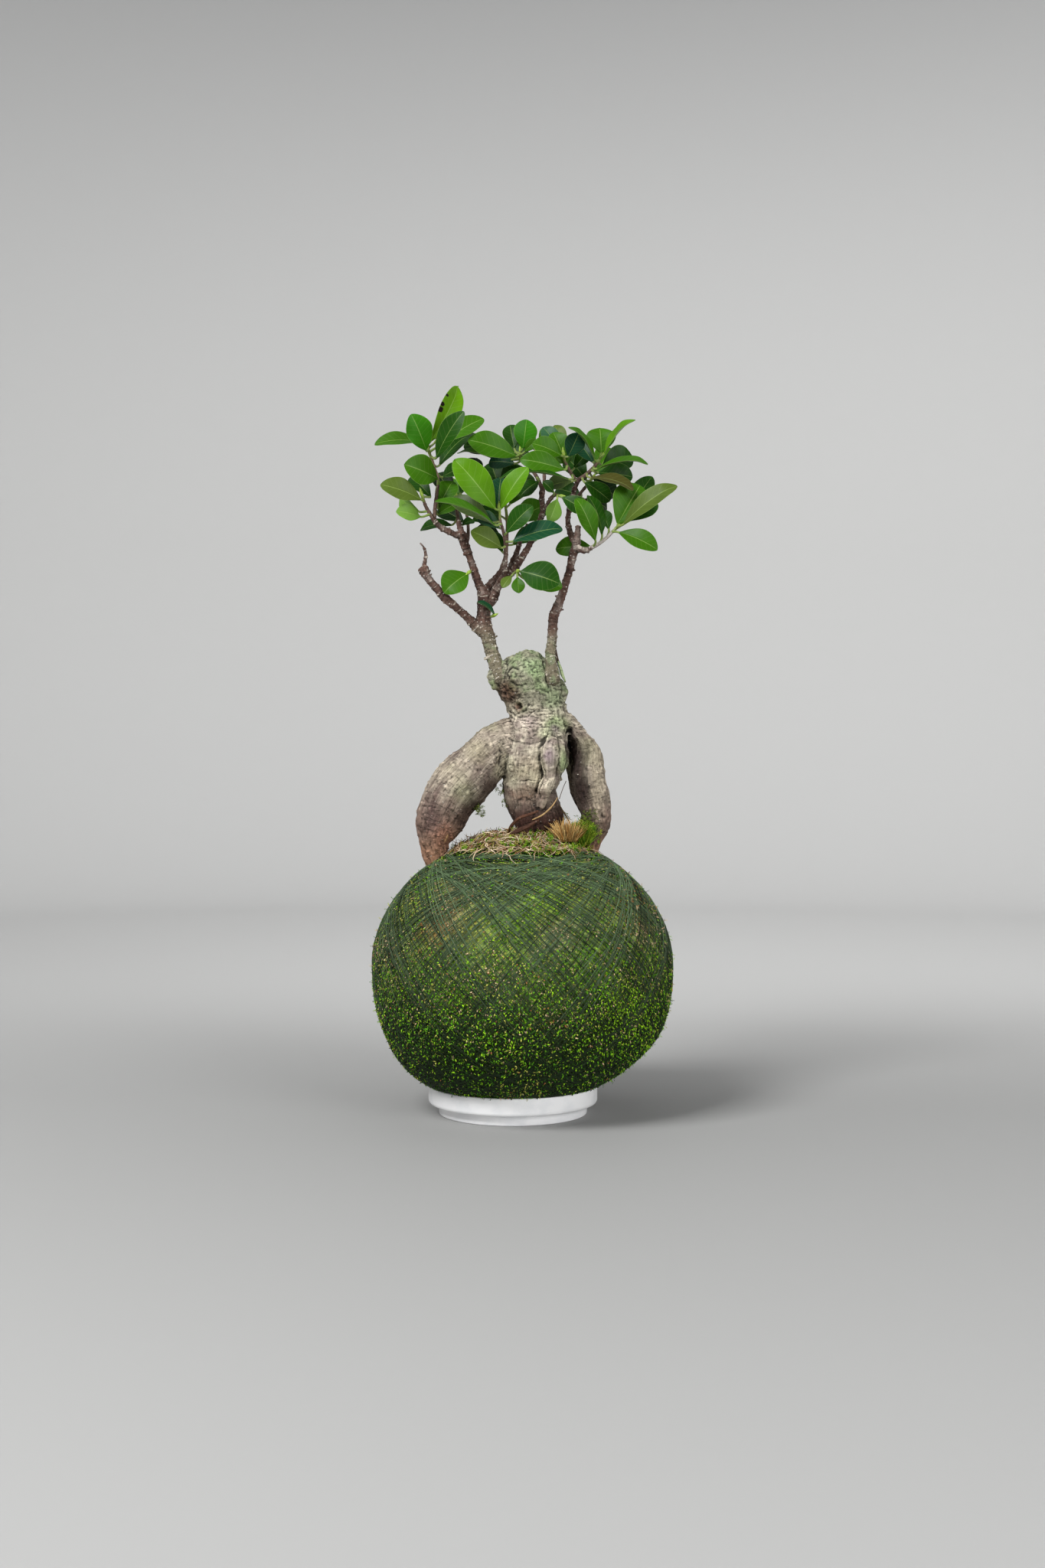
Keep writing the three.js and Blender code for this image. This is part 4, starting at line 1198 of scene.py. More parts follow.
    def build(self) -> None:
        """Adds the soil's finish, the jacket, its leaflets and the thread."""
        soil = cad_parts["soil_core"].data
        soil.materials.clear()
        soil.materials.append(Crumbs().material())
        bed = Painted("moss_bed", 1.6, 0.35, 0.9, 0.85).material()
        leafy = Painted("moss_leaflet", 0.9, 0.16, 0.1, 0.62).material()
        thread = Painted("binding_thread", 0.5, 0.2, 0.1, 0.5).material()
        add_piece("moss_bed", self.bed(), bed, "moss_jacket")
        for k, (low, high) in enumerate(zip(self.bands, self.bands[1:]), start=1):
            band = self.leafy(low, high, self.leaflets)
            add_piece(f"moss_leaflets_{k}", band, leafy, "moss_jacket")
        add_piece("moss_fringe", self.fringe(), leafy, "moss_jacket")
        lays = zip(self.turns, self.bundles, self.tilts, self.lifts)
        for k, lay in enumerate(lays, start=1):
            add_piece(f"thread_lay_{k}", self.winding(*lay), thread, "binding_thread")


def sprigs(
    root: Array,
    way: Array,
    length: Array,
    leaves: int,
    tint: Array,
    rng: Generator,
    leaflet: float = 1.5,
) -> Shape:
    """Moss sprigs: a thin stem with leaflets set round it by the golden angle.

    Args:
        root: Feet of the stems.
        way: Directions of the stems.
        length: Lengths of the stems.
        leaves: Leaflets on each.
        tint: A colour for each sprig.
        rng: Where the leaflets' sizes come from.
        leaflet: Length of a leaflet.

    Returns:
        Stems and leaflets as one shape.
    """
    way = unit(way)
    side = unit(np.cross(way, UP + 0.01))
    back = np.cross(way, side)
    count = len(root)
    stem = slivers(root, way, back, np.stack([length, 0 * length + 0.3, 0 * length + 0.25], 1))
    share = np.linspace(0.25, 1, leaves)
    spin = 2.4 * np.arange(leaves) + rng.uniform(0, 6, (count, 1))
    ring = np.cos(spin)[..., None] * side[:, None] + np.sin(spin)[..., None] * back[:, None]
    spots = root[:, None] + (length[:, None] * share)[..., None] * way[:, None]
    along = ring * 0.9 + way[:, None] * (0.4 + 0.8 * share)[None, :, None]
    face = way[:, None] - 0.4 * ring
    long = leaflet * rng.uniform(0.7, 1.2, count * leaves)
    sizes = np.stack([long, long * 0.34, long * 0.12], axis=1)
    flat = [a.reshape(-1, 3) for a in (spots, along, face)]
    leafy = slivers(*flat, sizes)
    shade = rng.uniform(0.8, 1.25, (count * leaves, 1))
    leafy.tinted(np.repeat(np.repeat(tint, leaves, axis=0) * shade, SLIVER, axis=0))
    return Shape.joined([stem.tinted(np.repeat(tint * 0.6, SLIVER, axis=0)), leafy])


@dataclass
class Dressing:
    """Loose moss heaped round the roots: a lumpy mound under dry strands and green sprigs.

    Attributes:
        form: The ball that it lies on.
        strands: How many dry strands lie on it.
        green: How many sprigs grow in it.
        crown: Radius and height of the mound's top, from its middle outwards.
        rng: Where every draw comes from.
        noise: Unevenness of the mound.
    """

    form: BallForm = field(default_factory=BallForm)
    strands: int = 1500
    green: int = 700
    crown: tuple[tuple[float, float], ...] = ((0, 186.8), (20, 184.8), (36, 180.3))
    rng: Generator = field(default_factory=lambda: np.random.default_rng(29))
    noise: Noise = field(default_factory=lambda: Noise(8))

    def ground(self, flat: Array) -> Array:
        """The heap's height at places across and back: the mound, then the ball's shoulder.

        Args:
            flat: Rows of x and y.

        Returns:
            A height for each.
        """
        away = np.hypot(flat[:, 0] - self.form.shift, flat[:, 1])
        levels = np.linspace(177.5, 140, 50)
        dome = np.stack([self.form.radius_at(levels, 0.6), levels], axis=1)
        edge = np.vstack([self.crown, dome])
        height = np.interp(away, edge[:, 0], edge[:, 1])
        return height + self.lumps(flat) * (1 - ease(34, 46, away))

    @staticmethod
    def lumps(flat: Array) -> Array:
        """The mound's broad lumps: sin(0.31 x + 1) + cos(0.27 y - 0.2 x)."""
        return np.sin(0.31 * flat[:, 0] + 1) + np.cos(0.27 * flat[:, 1] - 0.2 * flat[:, 0])

    def heap(self) -> Shape:
        """The mound's body, from its skirt in the ball's mouth over a lumpy crown, with painted
        shade in its hollows and towards its edge.
        """
        neck = self.form.radius_at(167, -8.5) - 1
        levels = np.linspace(169.4, 177.5, 9)
        dome = np.stack([self.form.radius_at(levels, -0.7), levels], axis=1)
        base = [(0, 158.5), (neck - 1, 158.5), (neck, 169.2)]
        outline = np.vstack([base, dome, self.crown[::-1]])
        shape = turned(resampled(outline, 1.2, 2), 180)
        away = np.hypot(shape.points[:, 0], shape.points[:, 1])
        top = ease(172, 178, shape.points[:, 2])
        shape.points[:, 0] += self.form.shift
        fine = self.noise.layered(shape.points, 5, 3)
        shape.points[:, 2] += top * (self.lumps(shape.points) - 0.8 + 0.9 * fine)
        # Painted shade: lighter where the crown rises and darker in its dips.
        tint = blend("2C2014", "75603F", ease(-0.4, 0.5, fine))
        green = ease(0, 0.4, self.noise.layered(shape.points + 40, 14) + shape.points[:, 0] / 200)
        tint = blend(tint, "3C4F1A", 0.7 * green)
        # Painted shade: darker outwards from the crown's edge, where the mound goes down into the
        # ball's mouth.
        return shape.tinted(blend(tint, "1A2410", ease(32, 42, away)))

    def spots(self, count: int, inner: float, outer: float) -> Array:
        """Random places between two radii round the ball's axis, even over the heap."""
        away = np.sqrt(self.rng.uniform(inner**2, outer**2, count))
        angle = self.rng.uniform(0, 2 * np.pi, count)
        flat = np.stack([away * np.cos(angle), away * np.sin(angle)], axis=1)
        return flat + (self.form.shift, 0)

    def dry(self, steps: int = 8) -> Shape:
        """Dry strands that wander over the heap, some with a tip in the air."""
        rng, count = self.rng, self.strands
        start = self.spots(count, 0, 47)
        length = rng.uniform(6, 18, count) * np.where(rng.random(count) < 0.5, 0.6, 1)
        around = np.arctan2(start[:, 1], start[:, 0] - self.form.shift) + np.pi / 2
        heading = around + rng.normal(0, 0.6, count) + np.pi * rng.integers(0, 2, count)
        bend = np.cumsum(rng.normal(0, 0.28, (count, steps)), axis=1)
        heading = heading[:, None] + bend
        stride = (length / (steps - 1))[:, None, None]
        way = np.stack([np.cos(heading), np.sin(heading)], axis=-1)
        flat = start[:, None] + np.cumsum(way * stride, axis=1)
        low = self.ground(flat.reshape(-1, 2)).reshape(count, steps)
        share = np.linspace(0, 1, steps)
        hump = rng.uniform(-0.6, 1.6, count)[:, None] * np.sin(np.pi * share)
        tip = np.where(rng.random(count) < 0.3, rng.uniform(1, 5.5, count), 0)[:, None] * share**3
        lie = rng.uniform(0, 1.5, count)[:, None]
        path = np.concatenate([flat, (low + lie + hump + tip)[..., None]], axis=-1)
        thick = rng.uniform(0.22, 0.6, count)[:, None] * (1 - 0.75 * share**2)
        shape = tubes(path, thick, 4, UP, flat=0.7)
        tones = palette("CDB796", "B09476", "DECBAE", "8A6446", "8E8240")
        tint = tones[rng.integers(0, len(tones), count)] * rng.uniform(0.65, 1.15, (count, 1))
        return shape.tinted(np.repeat(tint, steps * 4 + 2, axis=0))

    def living(self) -> Shape:
        """Green sprigs among the strands, more of them towards the right."""
        rng = self.rng
        flat = self.spots(self.green * 2, 0, 48)
        keep = rng.random(len(flat)) < 0.12 + 0.7 * ease(-30, 55, flat[:, 0])
        flat = flat[keep][: self.green]
        root = np.column_stack([flat, self.ground(flat) - 0.5])
        way = UP + 0.75 * rng.normal(size=root.shape)
        tones = palette("6FA020", "90B42C", "4A7820", "AFAE46")
        tint = tones[rng.integers(0, len(tones), len(root))]
        return sprigs(root, way, rng.uniform(2, 5, len(root)), 10, tint, rng, 1.9)

    def tuft(
        self, name: str, height: float, spread: float, blades: int, foot: float, shift: float
    ) -> Shape:
        """A tuft: fine blades fanned out of a small cushion, on its solid's own foot.

        Args:
            name: The solid that gives its place.
            height: Length of the tallest blades.
            spread: How far they lean out.
            blades: How many there are.
            foot: Radius of the patch that they grow from.
            shift: How far to the right of its solid's middle it grows.

        Returns:
            The blades as one shape.
        """
        low, high = (np.array(corner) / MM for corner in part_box(name))
        middle = np.array([*(low + high)[:2] / 2, low[2] + 1]) + (shift, 0, 0)
        rng, steps = self.rng, 5
        spin, share = rng.uniform(0, 2 * np.pi, blades), np.sqrt(rng.random(blades))
        out = np.stack([np.cos(spin), np.sin(spin), 0 * spin], axis=1)
        root = middle + out * (share * foot)[:, None] * (1, 0.7, 1)
        lean = out * (spread * share)[:, None] + 0.16 * rng.normal(size=(blades, 3)) + UP
        length = height * rng.uniform(0.55, 1, blades) * (1 - 0.25 * share)
        along = np.linspace(0, 1, steps)
        path = root[:, None] + unit(lean)[:, None] * (length[:, None] * along)[..., None]
        droop = (0.16 * length * share)[:, None] * along**2
        path += out[:, None] * droop[..., None] - UP * 0.6 * droop[..., None]
        thick = rng.uniform(0.24, 0.5, blades)[:, None] * (1 - 0.8 * along)
        return tubes(path, thick, 3, BACK + 0.1)

    def build(self) -> None:
        """Adds the heap, its strands and sprigs, and the two tufts at the front right."""
        rng = self.rng
        heap = Painted("mound", 1.4, 0.4, 0.8, 0.9).material()
        strand = Painted("dry_strand", 1.1, 0.25, 0.15, 0.75).material()
        sprig = Painted("green_sprig", 1.0, 0.16, 0.1, 0.6).material()
        add_piece("dressing_heap", self.heap(), heap, "moss_dressing")
        add_piece("dressing_strands", self.dry(), strand, "moss_dressing")
        add_piece("dressing_sprigs", self.living(), sprig, "moss_dressing")
        count = 360
        rust = self.tuft("tuft_rust", 18.5, 0.45, count, 6.6, -0.5)
        shade = rng.uniform(0.35, 1.25, (count, 1))
        tint = blend("A87232", "E4C686", rng.random(count)) * shade
        rust.tinted(np.repeat(tint, len(rust.points) // count, axis=0))
        add_piece("tuft_rust_blades", rust, strand, "tuft_rust")
        count = 240
        green = self.tuft("tuft_green", 20, 0.34, count, 4.2, -4)
        tint = blend("4E8214", "A5B436", rng.random(count))
        tint = tint * rng.uniform(0.5, 1.2, (count, 1))
        green.tinted(np.repeat(tint, len(green.points) // count, axis=0))
        tips = green.points.reshape(count, -1, 3)[::2, -1]
        leafy = sprigs(tips - (0, 0, 4), UP + 0.5 * rng.normal(size=tips.shape),
                       rng.uniform(3, 5.5, len(tips)), 12, tint[::2], rng, 2.0)
        green = Shape.joined([green, leafy])
        add_piece("tuft_green_blades", green, sprig, "tuft_green")


# ------------------------------------------------------------------ trunk and branches


@dataclass(frozen=True)
class Scar:
    """A knot, pit or swelling of the bark.

    Attributes:
        x: Across, as seen from the front.
        z: Up, as seen from the front.
        depth: Its real depth.
        radius: How far it reaches.
        middle: How far its middle stands out.
        ring: How far a ring round it stands out.
    """

    x: float
    z: float
    depth: float
    radius: float
    middle: float
    ring: float = 0.0


TRUNK_SCARS = (
    Scar(-0.5, 292.5, -20, 3.2, 1.0, 0.6), Scar(12.5, 301, -14, 2.3, 0.7, 0.4),
    Scar(15.3, 296, -17, 1.7, 0.9, -0.2), Scar(2.2, 270.5, -17, 3.0, -3.0, 0.6),
    Scar(-13.5, 290.5, -6, 3.2, 1.4), Scar(21, 285, -17, 3.4, 1.4), Scar(12, 252, -20, 2.2, 1.0),
    Scar(10.3, 236.5, -20, 1.6, 1.0), Scar(6.8, 237.2, -20, 1.4, 0.9), Scar(2, 240, -19, 1.3, 0.8),
    Scar(-30, 213, -21, 2.3, 1.2), Scar(-41, 203, -22, 2, 1.0), Scar(59, 198, -10, 3.6, -1.6, 0.3),
    Scar(-8, 278, -12, 2.2, -1.0, 0.3), Scar(-4, 283, -15, 1.8, 0.8),
    Scar(0.5, 280, -17, 1.6, 0.8), Scar(-5, 276, -13, 1.5, 0.7), Scar(51, 230, -16, 1.5, 0.8),
    Scar(-20, 226, -20, 1.6, 0.8),
)


@dataclass(frozen=True)
class StainShadeAndLight:
    """A part of the trunk's front that leans to one colour; the table holds stains of the bark
    itself, painted shade and painted light.

    Attributes:
        x: Across, as seen from the front.
        z: Up, as seen from the front.
        wide: How far it reaches across.
        high: How far it reaches up and down.
        colour: What it leans to.
        share: How far.
    """

    x: float
    z: float
    wide: float
    high: float
    colour: str
    share: float


@dataclass(frozen=True)
class Groove:
    """A line cut into the trunk's front, with painted shade along it.

    Attributes:
        line: Readings along it: x and z, as seen from the front.
        width: How far it reaches to each side.
        depth: How deep it is cut.
        dark: How much painted shade darkens it.
    """

    line: tuple[tuple[float, float], ...]
    width: float
    depth: float
    dark: float = 0.8


GROOVES = (
    Groove(((21, 250), (18.6, 243), (18.3, 235), (19.6, 228.5), (20.5, 224), (18.2, 219),
            (16, 214), (18, 210.5)), 1.5, 1.7, 0.6),
    Groove(((23, 247.5), (27, 249.5), (32, 248.5)), 1.2, 0.7, 0.3),
    Groove(((38, 255), (36.8, 250), (37.2, 244), (37.8, 237), (36.8, 229)), 1.6, 2.4, 0.95),
    Groove(((-7, 246), (-8, 240), (-8.5, 232), (-8.3, 224)), 1.8, 1.6, 0.5),
    Groove(((3, 221.3), (9, 221), (16, 221.4)), 0.5, 0.7, 0.75),
    Groove(((-4, 232), (4, 231.2), (12, 231.8)), 0.4, 0.35, 0.4),
    Groove(((-6, 251), (2, 247), (12, 245.6), (22, 249)), 0.5, 0.6, 0.6),
    Groove(((0, 271), (4, 267.3), (9, 268), (11, 272)), 0.6, 0.8, 0.7),
    Groove(((-3, 268), (3, 263.8), (10, 264.4), (14, 268)), 0.5, 0.7, 0.6),
    Groove(((3.5, 296.5), (0, 297.3), (-2.8, 295.6), (-3.6, 292.6), (-2, 290)), 0.8, 1.3, 0.95),
    Groove(((-1.5, 287), (4, 284.5), (9, 285.5)), 0.7, 0.9, 0.8),
    Groove(((-8, 286), (-4, 281), (0, 276)), 0.7, 0.9, 0.7),
    Groove(((19, 303), (21.5, 297), (22.6, 290), (24, 284)), 1.0, 1.3, 0.85),
    Groove(((-4.5, 303), (-4, 298), (-5.5, 292), (-6.5, 287)), 0.8, 0.9, 0.7),
    Groove(((-58, 214), (-50, 212.6)), 0.4, 0.35, 0.4),
    Groove(((-60, 205), (-51, 203)), 0.4, 0.35, 0.4),
    Groove(((-61, 196), (-52, 194)), 0.4, 0.35, 0.4),
    Groove(((-52, 222), (-45, 219)), 0.4, 0.3, 0.4),
    Groove(((-62, 190), (-50, 186.5)), 0.5, 0.4, 0.5),
    Groove(((-30, 199), (-22, 206)), 0.6, 0.5, 0.5),
)

# Colours that parts of the trunk's front lean to: stains of the bark itself, painted shade and
# painted light, as marked below.
TRUNK_STAINS_SHADE_AND_LIGHT = (
    StainShadeAndLight(-4, 280, 8.5, 9.5, "54392D", 0.9), StainShadeAndLight(3.5, 270.5, 3.6, 3, "5A3C2E", 0.85),
    # Painted shade: the dark stains at (-14, 216), (-24, 204) and (-33, 193) on the left arm's
    # underside, and the near-black ones at (39.6, 241) and (36.5, 229) in the hollow between torso
    # and right arm.
    StainShadeAndLight(-14, 216, 9, 8, "2E2420", 0.9), StainShadeAndLight(-24, 204, 10, 7, "30251F", 0.9),
    StainShadeAndLight(-33, 193, 8, 7, "3E2D26", 0.8), StainShadeAndLight(39.6, 241, 3.2, 12.5, "080605", 1.0),
    StainShadeAndLight(36.5, 229, 2.6, 4, "080605", 0.7), StainShadeAndLight(24, 237, 4.5, 9, "84727A", 0.65),
    StainShadeAndLight(33.5, 234, 3.2, 9, "708C52", 0.65), StainShadeAndLight(29, 259, 8, 6, "84A064", 0.6),
    StainShadeAndLight(9, 260, 7, 5, "C4B2AA", 0.5), StainShadeAndLight(28, 255, 3.4, 3.4, "8C7880", 0.6),
    StainShadeAndLight(22, 252, 5, 4, "A8B488", 0.5), StainShadeAndLight(12, 298, 8, 6, "93AE7C", 0.5),
    StainShadeAndLight(27, 276, 6, 8, "8FA478", 0.5), StainShadeAndLight(11, 228, 11, 10, "BCB093", 0.5),
    StainShadeAndLight(-24, 241, 9, 8, "A49C80", 0.5), StainShadeAndLight(-33, 214, 8, 8, "7C8060", 0.5),
    StainShadeAndLight(8, 213, 13, 6, "6E5646", 0.7), StainShadeAndLight(56.5, 222, 5, 24, "AEA28C", 0.75),
    # Painted shade: (42, 234) and (46, 214) on the right arm's inner strand, and (53, 186) where
    # that arm goes into the moss.
    StainShadeAndLight(42, 234, 6.5, 17, "2C211E", 1.0), StainShadeAndLight(46, 214, 7.5, 19, "302521", 1.0),
    StainShadeAndLight(53, 186, 5, 7, "1E1813", 0.8), StainShadeAndLight(-47, 184, 8, 9, "A0705A", 0.65),
    # Painted shade: (-28, 200) in the crotch between left arm and torso, and (-15, 219) on that
    # arm's underside. Painted light: (-40, 226) on its upper side.
    StainShadeAndLight(-28, 200, 11, 6, "4A3A33", 0.75), StainShadeAndLight(-54, 200, 7, 15, "5C4844", 0.75),
    StainShadeAndLight(-15, 219, 7, 6, "54463E", 0.7), StainShadeAndLight(-40, 226, 12, 8, "B4AA94", 0.5),
)


def ringed(along: Array, radii: Array, sides: int) -> Array:
    """Coordinates that run along a tube: the distance gone, r cos(a) and r sin(a).

    Args:
        along: Distance gone at each of its rings.
        radii: Radius at each ring, in one column or in one for each side.
        sides: Points round a ring.

    Returns:
        A row for each point of the tube, its two poles last.
    """
    angle = np.arange(sides) * 2 * np.pi / sides
    radii = np.broadcast_to(radii, (len(along), sides))
    gone = np.broadcast_to(along[:, None], radii.shape)
    rows = np.stack([gone, radii * np.cos(angle), radii * np.sin(angle)], axis=-1).reshape(-1, 3)
    return np.vstack([rows, rows[:1], rows[-1:]])


def limb(rows: Rows, sides: int, per_span: int, flat: float = 1.0, knobs: float = 0.0) -> Shape:
    """A limb swept along the smooth curve through its rows.

    Its section is round, flattened in depth by `flat`, with two low lobes that turn along
    it: r * (1 + knobs * sin(1.9 i + 2 angle)), i counting rows.

    Args:
        rows: Rows of x, z, depth and radius, as seen from the front.
        sides: Points round the limb.
        per_span: Steps from row to row.
        flat: Thickness in depth as a share of that across.
        knobs: Height of the lobes as a share of the radius.

    Returns:
        The limb.
    """
    line = course(rows, per_span)
    i = np.linspace(0, len(rows) - 1, len(line))[:, None]
    angle = np.arange(sides) * 2 * np.pi / sides
    radii = line[:, 3:] * (1 + knobs * np.sin(1.9 * i + 2 * angle))
    shape = tubes(line[None, :, :3], radii[None], sides, BACK, flat=flat, reach=DOME)
    shape.flow = ringed(travelled(line[:, :3]), radii, sides)
    return shape


@dataclass
class Grain:
    """Where the points of a skin lie on the limbs under it.

    Attributes:
        along: Distance along the limb.
        side: Offset from its middle line, across.
        back: Offset from its middle line, in depth.
        number: Which limb it is.
    """

    along: Array
    side: Array
    back: Array
    number: Array

    @staticmethod
    def of(points: Array, limbs: Sequence[Rows], per_span: int = 6) -> "Grain":
        """Finds each point's nearest step of a middle line, in that limb's own radii.

        Args:
            points: The skin's points.
            limbs: The limbs' rows.
            per_span: Steps from row to row.

        Returns:
            The points' places.
        """
        lines = []
        for number, rows in enumerate(limbs):
            line = course(rows, per_span)
            way = unit(np.gradient(line[:, :3], axis=0))
            tail = [travelled(line[:, :3]), np.full(len(line), number)]
            lines.append(np.column_stack([line, way, *tail]))
        steps = np.vstack(lines)
        nearest = np.empty(len(points), int)
        for part in np.array_split(np.arange(len(points)), 1 + len(points) // 2000):
            gap = ((points[part, None] - steps[:, :3]) ** 2).sum(-1) / steps[:, 3] ** 2
            nearest[part] = gap.argmin(1)
        found = steps[nearest]
        way = found[:, 4:7]
        side = unit(np.cross(BACK, way))
        off = points - found[:, :3]
        back = np.cross(way, side)
        along = found[:, 7] + (off * way).sum(1)
        return Grain(along, (off * side).sum(1), (off * back).sum(1), found[:, 8])

    def places(self, stretch: float = 1.0) -> Array:
        """Coordinates for a pattern that runs along the limbs, drawn out by `stretch`."""
        shift = 31 * self.number
        return np.stack([self.along / stretch + shift, self.side, self.back], axis=1)


def pimples(
    points: Array,
    count: int,
    radii: tuple[float, float],
    heights: tuple[float, float],
    rng: Generator,
) -> Array:
    """Small round swellings: each adds height * exp(-(distance / radius)^2).

    Args:
        points: The skin's points.
        count: How many of them bear a swelling.
        radii: The least and the most that one reaches.
        heights: The least and the most that one stands out.
        rng: Where the draws come from.

    Returns:
        How far each point is moved.
    """
    total = np.zeros(len(points))
    centres = points[rng.choice(len(points), count, replace=False)]
    draws = rng.uniform(*radii, count), rng.uniform(*heights, count)
    for centre, radius, height in zip(centres, *draws):
        near = np.flatnonzero(np.abs(points - centre).max(1) < 3 * radius)
        gap = ((points[near] - centre) ** 2).sum(1) / radius**2
        total[near] += height * np.exp(-gap)
    return total


@dataclass
class Trunk:
    """The swollen trunk with its arms and roots, in one skin.

    Attributes:
        voxel: Length of the skin's quads.
        flat: Thickness of a limb in depth as a share of that across.
        warts: Small swellings over the whole bark.
        rng: Where every draw comes from.
        noise: Unevenness of the bark.
    """

    voxel: float = 0.785
    flat: float = 0.86
    warts: int = 1300
    rng: Generator = field(default_factory=lambda: np.random.default_rng(43))
    noise: Noise = field(default_factory=lambda: Noise(12))

    def relief(self, points: Array, grain: Grain) -> Array:
        """How far the bark stands out of the smooth skin.

        Soft lumps, fibres along the limbs, folds round the neck and across the torso,
        warts, and the named scars.

        Args:
            points: The skin's points.
            grain: Their places on the limbs.

        Returns:
            Millimetres for each point.
        """
        noise, z = self.noise, points[:, 2]
        lumps = 0.8 * noise.layered(points, 15, 2) + 0.3 * noise.layered(points + 9, 5, 2)
        fibres = 0.4 * noise.layered(grain.places(6), 2.3, 3)
        head = ease(256, 268, z)
        bent = points + 1.6 * noise.layered(points + 200, 5, 2)[:, None]
        neck = ease(246, 256, z) * (1 - ease(282, 296, z))
        neck = neck * (0.3 + 0.7 * ease(-0.3, 0.3, noise.layered(points + 300, 9, 2)))
        folds = self.creases(bent * (0.25, 0.25, 1) + 7, 2.8, 0.22)
        rough = noise.layered(bent * (0.4, 0.4, 1) + 60, 2.6, 3) * ease(262, 284, z)
        coarse = noise.layered(points + 90, 6, 2) * head
        bends = noise.layered(bent * (0.2, 0.2, 1) + 30, 3, 3)
        height = lumps + fibres - 0.6 * neck * folds + 0.55 * rough + 0.9 * coarse
        height += 0.25 * (1 - head) * bends
        foot = 1 - ease(176, 205, z)
        height += 0.6 * foot * noise.layered(grain.places(3) + 11, 3.4, 3)
        height += pimples(points, self.warts, (0.6, 1.3), (0.3, 0.85), self.rng)
        for scar in TRUNK_SCARS:
            middle = seen(scar.x, scar.z, scar.depth)
            nearest = points[((points - middle) ** 2).sum(1).argmin()]
            gap = np.linalg.norm(points - nearest, axis=1) / scar.radius
            height += scar.middle * np.exp(-((gap / 0.6) ** 2))
            height += scar.ring * np.exp(-(((gap - 1) / 0.3) ** 2))
        return height

    def cuts(self, points: Array, normals: Array) -> tuple[Array, Array]:
        """What the grooves do: each falls off as exp(-(distance / width)^1.5).

        Args:
            points: The skin's points.
            normals: Their normals. Only points that look to the front are cut.

        Returns:
            For each point, how deep it is cut and how much painted shade darkens it.
        """
        flat = fronted(points)
        wander = [self.noise.layered(points + shift, 4, 3) for shift in (77, 177)]
        flat = flat + 1.1 * np.stack(wander, axis=1)
        broken = 0.35 + 0.65 * ease(-0.35, 0.2, self.noise.layered(points + 250, 5, 2))
        seen_here = ease(0.05, -0.35, normals[:, 1]) * (points[:, 1] < 6)
        depth, dark = np.zeros(len(points)), np.zeros(len(points))
        for groove in GROOVES:
            knots = np.array(groove.line, float)
            gap = np.full(len(points), np.inf)
            for start, end in zip(knots, knots[1:]):
                way = end - start
                share = np.clip(((flat - start) @ way) / (way @ way), 0, 1)
                gap = np.minimum(gap, np.linalg.norm(flat - start - share[:, None] * way, axis=1))
            cut = np.exp(-((gap / groove.width) ** 1.5)) * seen_here
            cut = cut * np.where(groove.dark < 0.9, broken, 1)
            depth = np.maximum(depth, groove.depth * cut)
            dark = np.maximum(dark, groove.dark * cut)
        return depth, dark

    def creases(self, places: Array, size: float, breadth: float) -> Array:
        """A net of thin lines where noise n crosses zero: exp(-(n / breadth)^2).

        Args:
            places: Points in millimetres.
            size: Millimetres from line to line, about.
            breadth: How broad the lines are.

        Returns:
            A value from 0 to 1 for each point.
        """
        return np.exp(-((self.noise.layered(places, size, 2) / breadth) ** 2))

    def tint(self, points: Array, hollow: Array, grain: Grain) -> Array:
        """The bark's colour: greenish on the head, beige on the torso, brown at the feet, with
        painted shade in hollows and painted light on raised places.

        Args:
            points: The skin's points.
            hollow: How deep each point lies below its surroundings.
            grain: Their places on the limbs.

        Returns:
            Linear colours, one a row.
        """
        noise, z = self.noise, points[:, 2]
        broad = noise.layered(points + 20, 22, 3)
        patchy = noise.layered(points - 50, 9, 3)
        arms = np.isin(grain.number, (1, 2, 3))
        tint = blend("C4BAA6", "8C7F75", ease(-0.3, 0.35, patchy))
        streaky = noise.layered(grain.places(7) + 70, 4, 3)
        limb = blend("A89C8C", "74665D", ease(-0.3, 0.4, streaky + 0.4 * broad))
        tint = np.where(arms[:, None], limb, tint)
        algae = ease(-0.05, 0.45, broad) * ease(196, 225, z)
        head = ease(258, 280, z)
        low = 1 - ease(190, 222, z + 7 * broad)
        column = (grain.number == 0) | (grain.number > 5)
        for other, share in (
            ("929470", 0.35 * algae),
            ("787A64", 0.75 * head),
            ("869A6C", 0.6 * head * ease(-0.1, 0.45, patchy)),
            (blend("7E675B", "594439", ease(-0.3, 0.3, patchy)), 0.85 * low),
            ("36211A", (1 - ease(194, 220, z + 4 * patchy)) * column),
            ("9C7258", 0.7 * (1 - ease(172, 190, z)) * arms),
        ):
            tint = blend(tint, other, share)
        fibre = ease(0.15, 0.6, noise.layered(grain.places(7) + 4, 1.9, 2))
        tint = blend(tint, tint * 1.35, 0.5 * fibre * low)
        ragged = fronted(points) + 2.2 * np.stack([patchy, broad], axis=1)
        # Bark stains, painted shade and painted light, each leaning the bark towards its colour.
        for stain_shade_and_light in TRUNK_STAINS_SHADE_AND_LIGHT:
            away = ((ragged - (stain_shade_and_light.x, stain_shade_and_light.z)) / (stain_shade_and_light.wide, stain_shade_and_light.high)) ** 2
            share = stain_shade_and_light.share * np.exp(-(away.sum(1) ** 1.5)) * (points[:, 1] < 4)
            tint = blend(tint, colour(stain_shade_and_light.colour), share)
        # Painted light on raised places and painted shade in hollows.
        tint = blend(tint, tint * 1.45, ease(0.1, 0.7, -hollow))
        return blend(tint, tint * 0.2, ease(0.05, 0.7, hollow))

